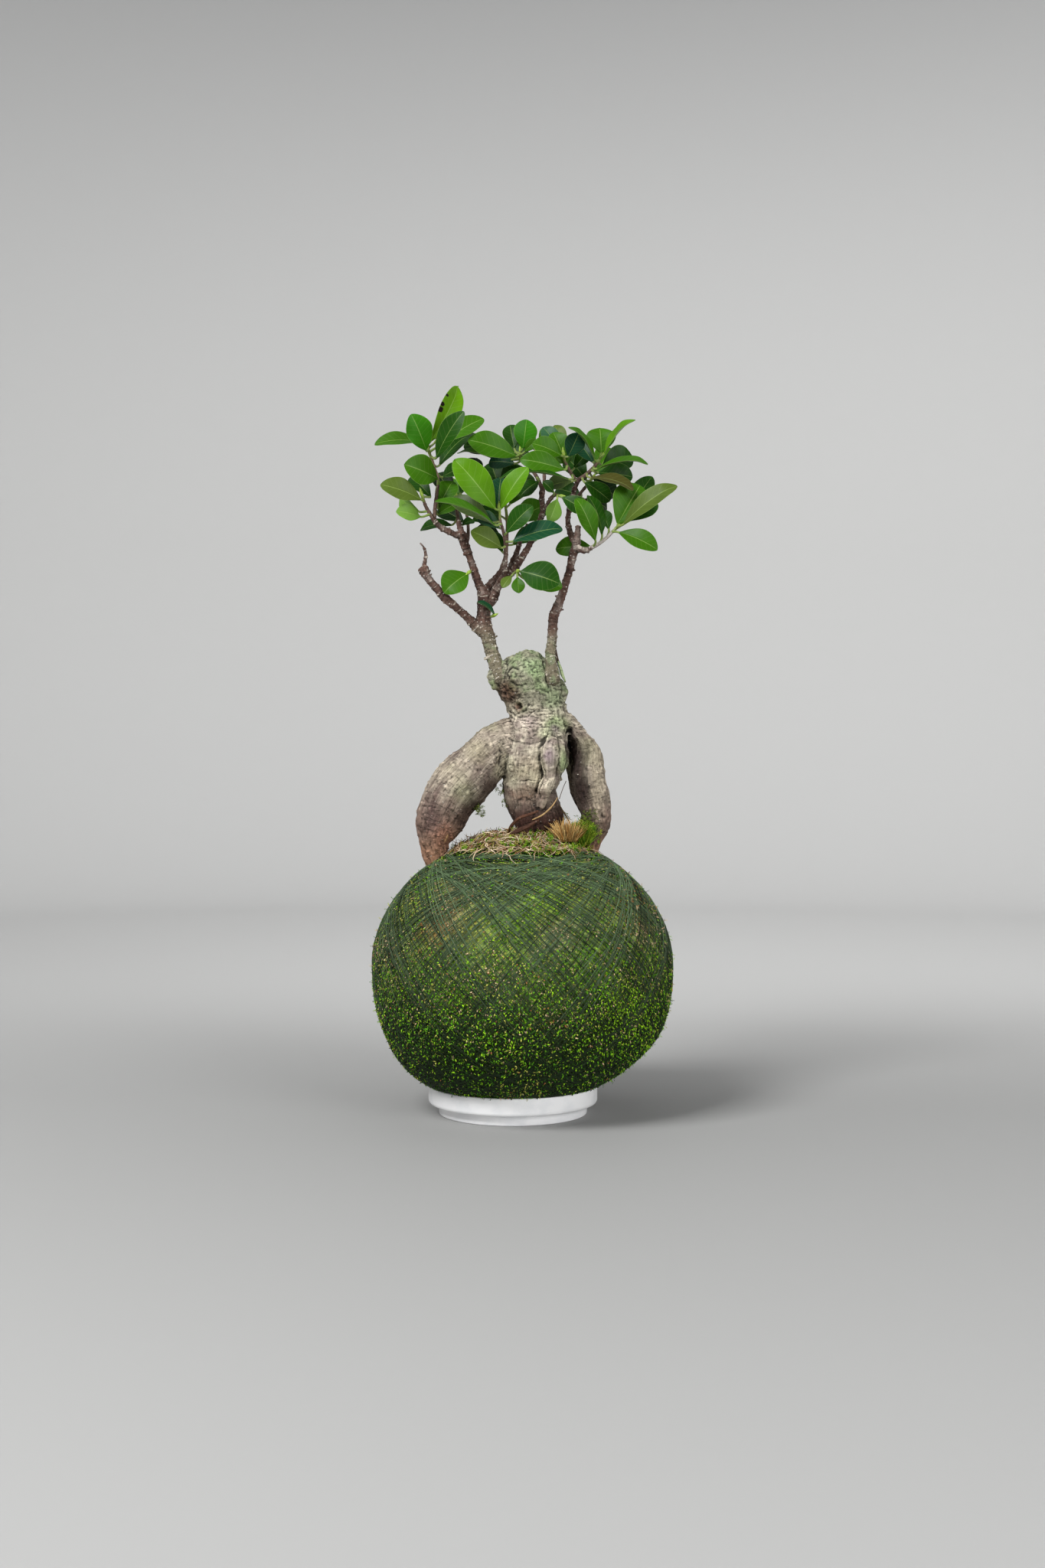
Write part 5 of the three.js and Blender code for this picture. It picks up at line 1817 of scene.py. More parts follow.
    def body(self) -> Shape:
        """The skin of trunk, arms and roots, with its relief and its colour."""
        limbs = list(TRUNK_LIMBS.values())
        rough = Shape.joined([limb(rows, 28, 5, self.flat, 0.035) for rows in limbs])
        points, quads = fused(rough, self.voxel)
        points = relaxed(points, quads, 7)
        normals = normals_of(points, quads)
        grain = Grain.of(points, limbs)
        depth, dark = self.cuts(points, normals)
        points = points + normals * (self.relief(points, grain) - depth)[:, None]
        smooth = relaxed(points, quads, 1)
        wide = relaxed(smooth, quads, 1)
        for _ in range(2):
            wide = averaged(wide, quads)
        hollow = ((wide - points) * normals_of(points, quads)).sum(1)
        shape = Shape(points, [quads], flow=grain.places())
        tint = self.tint(points, hollow * 4.2, grain)
        # Painted shade in the grooves.
        return shape.tinted(blend(tint, tint * 0.1, 0.85 * dark))

    def build(self) -> None:
        """Adds the trunk, and the hair roots and scraps that lie on it."""
        bark = Bark("trunk_bark", 7, 3.1, "E2DACA", 0.45, 0.4, 0.35).material()
        add_piece("trunk_bark", self.body(), bark, "trunk")
        roots = [limb(rows, 8, 6).tinted(colour(tone)) for rows, tone in ROOTLETS]
        add_piece("hair_roots", Shape.joined(roots), bark, "trunk")
        self.crumbs()

    def crumbs(self) -> None:
        """Scraps of moss caught on the arms and in the crotch between arm and torso."""
        rng, sets = self.rng, []
        for x, z, depth, reach, count in MOSS_SCRAPS:
            root = seen(x, z, depth) + rng.normal(0, reach / 2, (count, 3)) * (1, 0.6, 1)
            tint = blend("4B5A24", "7B8A3A", rng.random(count))
            way = rng.normal(size=(count, 3)) - 0.4 * UP
            sets.append(sprigs(root, way, rng.uniform(1.5, 3.2, count), 7, tint, rng, 1.3))
        sprig = Painted("scrap_moss", 1.0, 0.2, 0.1, 0.7).material()
        add_piece("trunk_moss_scraps", Shape.joined(sets), sprig, "trunk")


ROOTLETS: tuple[tuple[Rows, str], ...] = (
    (((-2, 181, -12, 0.7), (-2.5, 187, -15, 0.9), (-1, 191, -20, 1.1), (5, 196.5, -26, 1.1),
      (12, 199, -27, 0.9), (17, 201, -26, 0.6)), "5A3B2C"),
    (((-5, 183, -22, 1.2), (3, 187.5, -26, 1.6), (11, 191, -28, 1.4),
      (17, 195, -27, 1.0)), "4A3024"),
    (((13, 195, -28, 0.4), (20, 198.5, -28.5, 0.55), (26, 204, -27, 0.45),
      (30, 210, -24, 0.25)), "A88A60"),
    (((31, 209, -20, 0.25), (33, 215, -16, 0.22), (35.5, 221, -12, 0.2)), "4A3A2C"),
    (((31, 205, -14, 0.4), (34, 200, -12, 0.5), (37, 195, -10, 0.35),
      (39, 191, -10, 0.25)), "54452F"),
    (((-46, 180, -12, 0.5), (-44, 184, -14, 0.8), (-43.5, 190, -15, 0.5),
      (-44, 193, -15, 0.3)), "A98560"),
    (((28, 311, -1, 0.7), (29.5, 303, -3, 0.9), (32, 295, -4, 0.8), (35, 287, -4, 0.5)), "4E3F33"),
    (((30, 301, -5, 0.5), (31.5, 297, -6, 1.0), (33, 292, -6.5, 1.1),
      (35, 287.5, -6, 0.5)), "A8B88A"),
)
MOSS_SCRAPS = (
    (-21, 200, -8, 3.5, 26), (-23, 203, -12, 2.5, 14), (-7, 214, -4, 2, 12), (-6, 206, -4, 1.6, 9),
    (48, 196, -16, 4.5, 34), (52, 199, -16, 3, 16), (-10, 217, -3, 2.4, 10), (35, 198, -6, 2, 9),
)


@dataclass
class Branch:
    """A grafted branch: forked wood in one skin, with leaf scars, stubs and corky dots.

    Attributes:
        name: The solid that it stands for.
        limbs: Its limbs' rows by name.
        mossy: Height below which its bark is as green as the trunk's.
        pale: The limb whose bark is whitish, if there is one.
        stubs: Short dead spurs.
        seed: What its draws start from.
        voxel: Length of the skin's quads.
    """

    name: str
    limbs: dict[str, Rows]
    mossy: float
    pale: str
    stubs: int
    seed: int
    voxel: float = 0.42

    def spurs(self, rng: Generator) -> Shape:
        """Short spurs that stand out of the limbs, leaning to their tips."""
        rows = [course(table, 6) for table in self.limbs.values()]
        line = np.vstack([row[4:-3] for row in rows])
        way = np.vstack([unit(np.gradient(row[:, :3], axis=0))[4:-3] for row in rows])
        pick = rng.choice(len(line), self.stubs, replace=False)
        out = unit(np.cross(way[pick], rng.normal(size=(self.stubs, 3))))
        share = np.linspace(0, 1, 5)
        radius = line[pick, 3]
        length = (radius + rng.uniform(0.9, 2.0, self.stubs))[:, None, None]
        path = line[pick, None, :3] + length * share[:, None] * (out + 0.35 * way[pick])[:, None]
        thick = np.minimum(radius * 0.6, 1.2)[:, None] * (1 - 0.45 * share)
        return tubes(path, thick, 8, BACK + 0.1, reach=0.4)

    def body(self) -> Shape:
        """The branch's skin with its relief and its colour."""
        rng, noise = np.random.default_rng(self.seed), Noise(self.seed)
        limbs = list(self.limbs.values())
        rough = Shape.joined([limb(rows, 16, 6, 1, 0.05) for rows in limbs] + [self.spurs(rng)])
        points, quads = fused(rough, self.voxel)
        points = relaxed(points, quads, 3)
        normals = normals_of(points, quads)
        grain = Grain.of(points, limbs)
        rings = np.sin(grain.along * 1.15 + 2.6 * noise.layered(points, 9, 2))
        height = 0.25 * noise.layered(grain.places(5), 1.6, 2)
        height += 0.35 * noise.layered(points, 6, 2)
        height += 0.9 * np.clip(rings, 0.6, 1) - 0.6
        height += pimples(points, len(points) // 110, (0.4, 0.8), (0.2, 0.5), rng)
        points = points + normals * height[:, None]
        shape = Shape(points, [quads], flow=grain.places())
        patchy = noise.layered(points + 9, 7, 3)
        return shape.tinted(self.tint(points[:, 2], grain, height, patchy))

    def tint(self, z: Array, grain: Grain, height: Array, patchy: Array) -> Array:
        """The bark's colour: purple-brown with grey patches, greener near the trunk, with painted
        shade in the hollows of its relief.

        Args:
            z: Heights of the skin's points.
            grain: Their places on the limbs.
            height: How far the relief stands out.
            patchy: Noise from patch to patch.

        Returns:
            Linear colours, one a row.
        """
        tint = blend("60483F", "8A7A72", ease(-0.05, 0.5, patchy))
        tint = blend(tint, "3E2C28", 0.75 * ease(0.05, 0.5, -patchy))
        low = 1 - ease(self.mossy - 12, self.mossy + 8, z + 6 * patchy)
        tint = blend(tint, "7C7762", 0.75 * low)
        tint = blend(tint, "73855E", 0.5 * low * ease(-0.1, 0.4, patchy))
        names = list(self.limbs)
        if self.pale in names:
            white = grain.number == names.index(self.pale)
            tint = blend(tint, "B5ABA0", 0.75 * white * ease(-0.5, 0.1, patchy))
        tint = blend(tint, "D6CCBC", 0.75 * ease(0.28, 0.55, height))
        # Painted shade in the hollows of the relief.
        return blend(tint, tint * 0.4, ease(0.15, 0.5, -height))

    def build(self) -> None:
        """Adds the branch."""
        bark = Bark(f"{self.name}_bark", 5, 2.2, "EFE9DE", 0.58, 0.35, 0.45).material()
        add_piece(f"{self.name}_wood", self.body(), bark, self.name)


TRUNK_LIMBS: dict[str, Rows] = {
    "column": (
        (9.3, 302, 0, 14.5), (9, 297, 0, 18.6), (8.5, 290, 0, 21.5), (13, 281, 0, 20.5),
        (15.5, 273, 0, 19.2), (17.5, 266, 0, 18.6), (17, 256, 0, 21), (14, 245, 0, 22),
        (13.5, 235, 0, 22), (12.5, 225, 0, 20), (10.8, 216, 0, 17.4), (12.6, 208, 0, 16.8),
        (15.6, 201, 0, 17), (17.5, 195, 0, 17), (17.5, 187, 0, 15), (17, 172, 0, 12),
        (14, 150, 0, 7.5),
    ),
    "left arm": (
        (7, 250, 0, 14), (-6, 246, -1, 15.5), (-19.5, 234.5, -3, 17), (-28, 226, -4, 18.5),
        (-35, 218.5, -5, 18.6), (-40.5, 211.5, -6, 18.2), (-45, 204, -6, 17.6),
        (-48.5, 195.5, -6, 16.2), (-51.3, 187.3, -6, 13.6), (-52.5, 179.5, -5, 10.3),
        (-51, 170, -4, 8.3), (-46, 158, -3, 6.4), (-40, 146, -2, 3.6),
    ),
    "right arm": (
        (31, 261, -2, 8.5), (39.5, 257.5, -3, 5.6), (45.3, 251.5, -4, 5.2), (49.2, 245, -5, 6.5),
        (50.5, 237, -5, 8.7), (50, 227.5, -5, 11.5), (51, 217.5, -5, 11.8),
        (53.3, 209.5, -5, 11.3), (55.5, 202, -5, 10.4), (57, 194.5, -5, 9),
        (56.6, 188.5, -5, 7), (54.5, 181, -5, 4.8), (52, 172, -5, 4), (48, 160, -5, 3.4),
        (44, 148, -5, 2.2),
    ),
    "right rear arm": (
        (35, 256, 6, 7), (40.5, 248, 8, 8), (42.5, 238, 10, 8.5), (44, 226, 12, 7.6),
        (46.5, 212, 13, 7), (51, 199, 13, 5.7), (49, 186, 12, 5.3), (45, 172, 11, 4.6),
        (40, 158, 9, 3.4),
    ),
    "hanging root": (
        (25.5, 249, -15, 5), (24.5, 243, -18, 5.7), (24.5, 236, -20, 5.9), (24.3, 229, -20, 4.6),
        (24.2, 223.5, -19.5, 3.6), (22, 217.5, -19, 4.9), (20.3, 212, -17, 4.2),
        (18, 204, -14, 3.2),
    ),
    "hanging knuckle": (
        (30, 247, -12, 4.5), (32.5, 240, -15, 4.7), (32.3, 232, -15, 4.6), (31.5, 227, -14, 2.6),
    ),
    "back root": (
        (12, 252, 9, 11), (10, 238, 17, 11.5), (7.5, 222, 25, 10), (8, 205, 31, 8.2),
        (10.5, 188, 33, 6.6), (11.5, 172, 32, 5), (12, 156, 29, 3.2),
    ),
    "back right root": (
        (22, 246, 10, 9), (21.5, 232, 19, 8), (20.5, 216, 27, 6.4), (21.5, 199, 31, 5.6),
        (22.5, 182, 31, 4.6), (22, 166, 28, 3.2),
    ),
    "split root": ((9, 206, -9, 7.5), (8.5, 197, -11, 7), (10, 188, -11, 5.6), (12, 174, -9, 4)),
    "shelf": ((24.5, 288, -3, 5.5), (31.5, 283, -3, 4.6), (30.5, 275, -3, 5.5)),
    "crown lump": ((-4, 297, -4, 7.5), (-9, 291, -5, 7.2), (-9, 283, -4, 5)),
    "crown ridge": ((6, 298, 1, 9), (13, 300.5, 0, 9), (18, 302.5, 0, 6)),
}
LEFT_BRANCH: dict[str, Rows] = {
    "stem": (
        (-6.5, 288, -9, 5.4), (-10.5, 297, -6, 5.1), (-14, 307, -3, 4.7), (-17, 318, -1, 4.8),
        (-19.5, 325, 0, 5.2), (-19.5, 335, 0, 4.5), (-19, 345, 0, 5), (-20, 350, -1, 4),
    ),
    "dead branch": (
        (-19, 320, 0, 4), (-24, 324, -1, 3.8), (-30, 330, -3, 2.8), (-38, 337, -6, 2.7),
        (-45, 343, -8, 3), (-52, 351, -10, 2.6), (-58, 358, -12, 2.8), (-60, 363, -12, 3.8),
    ),
    "dead twig": (
        (-59.5, 364, -12, 1.4), (-58.3, 372, -11, 1), (-59.5, 377, -11, 0.9), (-62, 380, -11, 0.7),
    ),
    "left arm": (
        (-19, 346, 0, 3.6), (-23, 353, -2, 2.8), (-26, 362, -4, 2.6), (-29, 371, -6, 2.6),
        (-32, 379, -8, 3), (-34, 385, -10, 3.3), (-38, 385.5, -11, 2.3), (-43, 387.5, -13, 1.9),
        (-49, 391, -15, 1.8), (-54, 397, -17, 1.7),
    ),
    "upper twig": ((-34, 384, -10, 2.6), (-35, 389, -8, 2), (-36.3, 394, -5, 1.7)),
    "rear arm": ((-18, 345, 1, 3.4), (-16, 351, 5, 2.6), (-12, 356, 10, 2.2), (-7, 362, 16, 2)),
    "front arm": (
        (-18, 339, 0, 3.6), (-14, 342, -1, 3.5), (-11, 349, -3, 3), (-6, 356, -6, 3),
        (0, 362, -8, 2.8), (5, 369, -9, 2.5), (10, 377, -8, 2.1), (13.5, 384, -7, 1.9),
        (18, 395, -5, 1.8), (20, 402, -4, 2), (19.2, 410, -2, 1.7), (19.5, 418, 0, 1.6),
    ),
    "dark arm": (
        (-3, 361, -6, 2), (-1, 366, 0, 1.7), (3, 375, 4, 1.7), (6, 385, 6, 1.5), (10, 392, 8, 1.5),
    ),
    "vertical": (
        (-6, 356, -7, 1.8), (-5.5, 361, -11, 1.6), (-5, 367, -14, 1.6), (-4.6, 375, -17, 1.4),
    ),
    "inner twig": ((19.5, 401, -4.5, 1.6), (23, 406, -6, 1.3), (26, 411, -8, 1.3)),
}
RIGHT_BRANCH: dict[str, Rows] = {
    "stem": (
        (27, 286, -13, 4.2), (26.2, 292, -12, 4.6), (25.5, 299, -9, 4.1), (25, 306, -6, 3.6),
        (26, 314, -3, 3.1), (26.5, 322, -1, 3.2), (27.2, 331, 1, 3.5), (30, 338, 1, 3),
        (33, 346, 0, 2.7), (35.5, 354, 0, 2.6), (38, 363, -1, 2.5), (40, 371, -2, 2.7),
        (42, 378, -4, 3), (43, 385, -5, 2.3), (43.5, 391, -5, 1.7),
    ),
    "upper fork": (
        (41, 381, -4, 2.2), (38.3, 387, -2, 1.9), (36.6, 395, 0, 1.8), (38, 403, 2, 1.7),
        (40, 411, 4, 1.6), (42, 418, 5, 1.6), (44, 423, 6, 1.7),
    ),
    "lower twig": ((42, 377, -5, 2.4), (48, 375, -8, 2), (53, 377, -10, 1.5)),
}


# ------------------------------------------------------------------ leaves


class Tone(Enum):
    """The greens of the leaves, as display colours of their upper side; some are painted shade and
    painted reflection, as marked.
    """

    BRIGHT = "50800A"
    LIME = "5A8A08"
    FRESH = "2E6C05"
    MID = "356206"
    # Partly the leaves' own dark green, partly painted shade on leaves in shadow.
    DARK = "1B4206"
    # Painted shade: leaves deep in shadow.
    DEEP = "0C2606"
    OLIVE = "4E6222"
    # A dark green with a painted reflection of the sky.
    TEAL = "133D24"
    # A green with a painted reflection of the sky.
    BLUE = "2F5638"
    BROWN = "42411B"
    GREY = "3C4C26"
    PALE = "638A34"


@dataclass(frozen=True)
class Leaf:
    """One leaf, placed as the front view shows it.

    Attributes:
        place: Where its stalk leaves the shoot, as a share of the shoot's length.
        base: Reading of the blade's foot: x and z.
        tip: Reading of its tip: x and z.
        width: Of the blade.
        depths: Real depth of its foot and of its tip.
        turn: Degrees that the upper side is rolled away from the front.
        tone: Its green.
    """

    place: float
    base: tuple[float, float]
    tip: tuple[float, float]
    width: float
    depths: tuple[float, float]
    turn: float
    tone: Tone = Tone.DARK


@dataclass(frozen=True)
class Blade:
    """The form that all the leaves share: an elliptic blade on a round stalk.

    Attributes:
        stalk_rings: Sections along the stalk.
        blade_rings: Sections along the blade.
        sides: Points round a section.
        stalk: Radius of the stalk.
        thickness: Of the blade at its rib.
        fold: How high the edges stand over the rib, as a share of the width.
        arch: How high the blade stands over the line from foot to tip, as a share of that.
    """

    stalk_rings: int = 8
    blade_rings: int = 30
    sides: int = 36
    stalk: float = 0.72
    thickness: float = 0.62
    fold: float = 0.13
    arch: float = 0.08

    def frames(self, foot: Array, tip: Array, turn: Array) -> tuple[Array, ...]:
        """Each blade's own directions: along it, up from its face, and across it.

        The face looks to the front, rolled by `turn` towards the side that lies higher.

        Args:
            foot: The blades' feet.
            tip: Their tips.
            turn: Degrees of roll.

        Returns:
            Three arrays of directions.
        """
        axis = unit(tip - foot)
        normal = unit(-BACK + axis[:, 1:2] * axis)
        side = np.cross(axis, normal)
        lean = side[:, 2] + 0.3 * side[:, 0] * np.sign(foot[:, 0] - EYE[0])
        side = np.where(lean[:, None] < 0, -side, side)
        roll = np.radians(turn)[:, None]
        face = normal * np.cos(roll) + side * np.sin(roll)
        return axis, face, np.cross(axis, face)

    def leaves(self, start: Array, foot: Array, tip: Array, width: Array,
               turn: Array, tints: Array, rng: Generator) -> Shape:
        """Closed surfaces for many leaves at once.

        A section at angle a has across = half * cos(a) and rises by
        fold * 2 * half * |cos(a)|^1.4 + thickness / 2 * sin(a). Along the blade, half is
        width / 2 * sin(pi u^1.3)^0.6, and the middle line arches by 4 u (1 - u). The edge
        waves a little, the tip bends down, and a shallow groove runs over the rib.

        Args:
            start: Where the stalks leave the shoot.
            foot: The blades' feet.
            tip: Their tips.
            width: Their widths.
            turn: Degrees of roll.
            tints: Linear colours of the upper sides.
            rng: Where the draws come from.

        Returns:
            The leaves, with their colours and surface places.
        """
        axis, face, span = (v[:, None, None] for v in self.frames(foot, tip, turn))
        length = np.linalg.norm(tip - foot, axis=1)[:, None, None, None]
        count, rings = len(foot), self.stalk_rings + self.blade_rings
        angle = np.arange(self.sides) * 2 * np.pi / self.sides
        cos, sin = np.cos(angle)[:, None], np.sin(angle)[:, None]
        u = (0.5 - 0.5 * np.cos(np.linspace(0.11, np.pi - 0.1, self.blade_rings)))[:, None, None]
        shape = np.sin(np.pi * u**1.3) ** 0.6
        half = width[:, None, None, None] / 2 * shape
        half = np.hypot(half, self.stalk * (1 - ease(0, 0.12, u)))
        phase = rng.uniform(0, 2 * np.pi, (count, 1, 1, 1))
        wave = rng.uniform(0.02, 0.085, (count, 1, 1, 1)) * half * cos**2
        wave = wave * np.sin(2 * np.pi * 1.6 * u + phase + 1.3 * np.sign(cos))
        droop = rng.uniform(0.0, 0.05, (count, 1, 1, 1)) * length * ease(0.72, 1, u) ** 2
        lift = self.arch * length * 4 * u * (1 - u) - droop
        flat = ease(0.0, 0.14, u) * np.ones_like(half)
        rise = flat * (self.fold * 2 * half * np.abs(cos) ** 1.4 + wave)
        thick = self.stalk + (self.thickness / 2 - self.stalk) * flat
        groove = 0.14 * flat * np.exp(-((cos * half / 0.8) ** 2)) * (1 - ease(0.8, 1, u))
        rib = 0.5 * flat * np.exp(-((cos * half / 0.75) ** 2)) * (1 - ease(0.3, 1, u)) * (sin < 0)
        up = rise + lift + thick * sin - groove * (sin > 0) - rib
        blade = foot[:, None, None] + axis * u * length + span * half * cos + face * up
        way = foot - start
        path = np.linspace(0, 1, self.stalk_rings + 1)[:-1, None]
        bent = (start[:, None] + way[:, None] * path
                + (axis[:, 0] * np.linalg.norm(way, axis=1)[:, None, None] - way[:, None])
                * (path**2 * (1 - path)) * -0.8)
        tangent = unit(np.gradient(bent, axis=1))
        across = unit(np.cross(tangent, face[:, 0]))
        above = np.cross(across, tangent)
        stout = self.stalk * (1 + 0.45 * (1 - path) ** 4)[..., None]
        stalk = bent[:, :, None] + stout * (across[:, :, None] * cos + above[:, :, None] * sin)
        body = np.concatenate([stalk, blade], axis=1).reshape(count, -1, 3)
        ends = np.stack([start, tip - face[:, 0, 0] * droop[:, 0, 0]], axis=1)
        points = np.concatenate([body, ends], axis=1)
        return self.skinned(points, rings, tints)

    def skinned(self, points: Array, rings: int, tints: Array) -> Shape:
        """The leaves' faces, colours and surface places.

        Args:
            points: Each leaf's sections in order and then its two poles.
            rings: Sections of a leaf.
            tints: Linear colours of the upper sides.

        Returns:
            The leaves as one shape.
        """
        count, sides = len(points), self.sides
        angle = np.tile(np.arange(sides) * 2 * np.pi / sides, rings)
        under = np.concatenate([ease(0.25, -0.25, np.sin(angle)), [0.5, 0]])
        along = np.repeat((np.arange(rings) - self.stalk_rings) / (self.blade_rings - 1), sides)
        along = np.concatenate([along, [-0.3, 1]])
        across = np.concatenate([(np.cos(angle) + 1) / 2, [0.5, 0.5]])
        pale, foot = blend(tints, "86A05C", 0.4), blend(tints, "A5B36A", 0.6)
        tint = blend(tints[:, None], pale[:, None], under[None])
        tint = blend(tint, foot[:, None], 0.85 * (1 - ease(-0.02, 0.06, along))[None])
        shape = Shape.of_many(points, ring_faces(rings, sides)).tinted(tint.reshape(-1, 3))
        shape.place = np.tile(np.stack([along, across], axis=1), (count, 1))
        return shape


@dataclass(frozen=True)
class Twig:
    """A leafy shoot: rows of x, z, depth and radius, and its leaves."""

    shoot: Rows
    leaves: tuple[Leaf, ...]


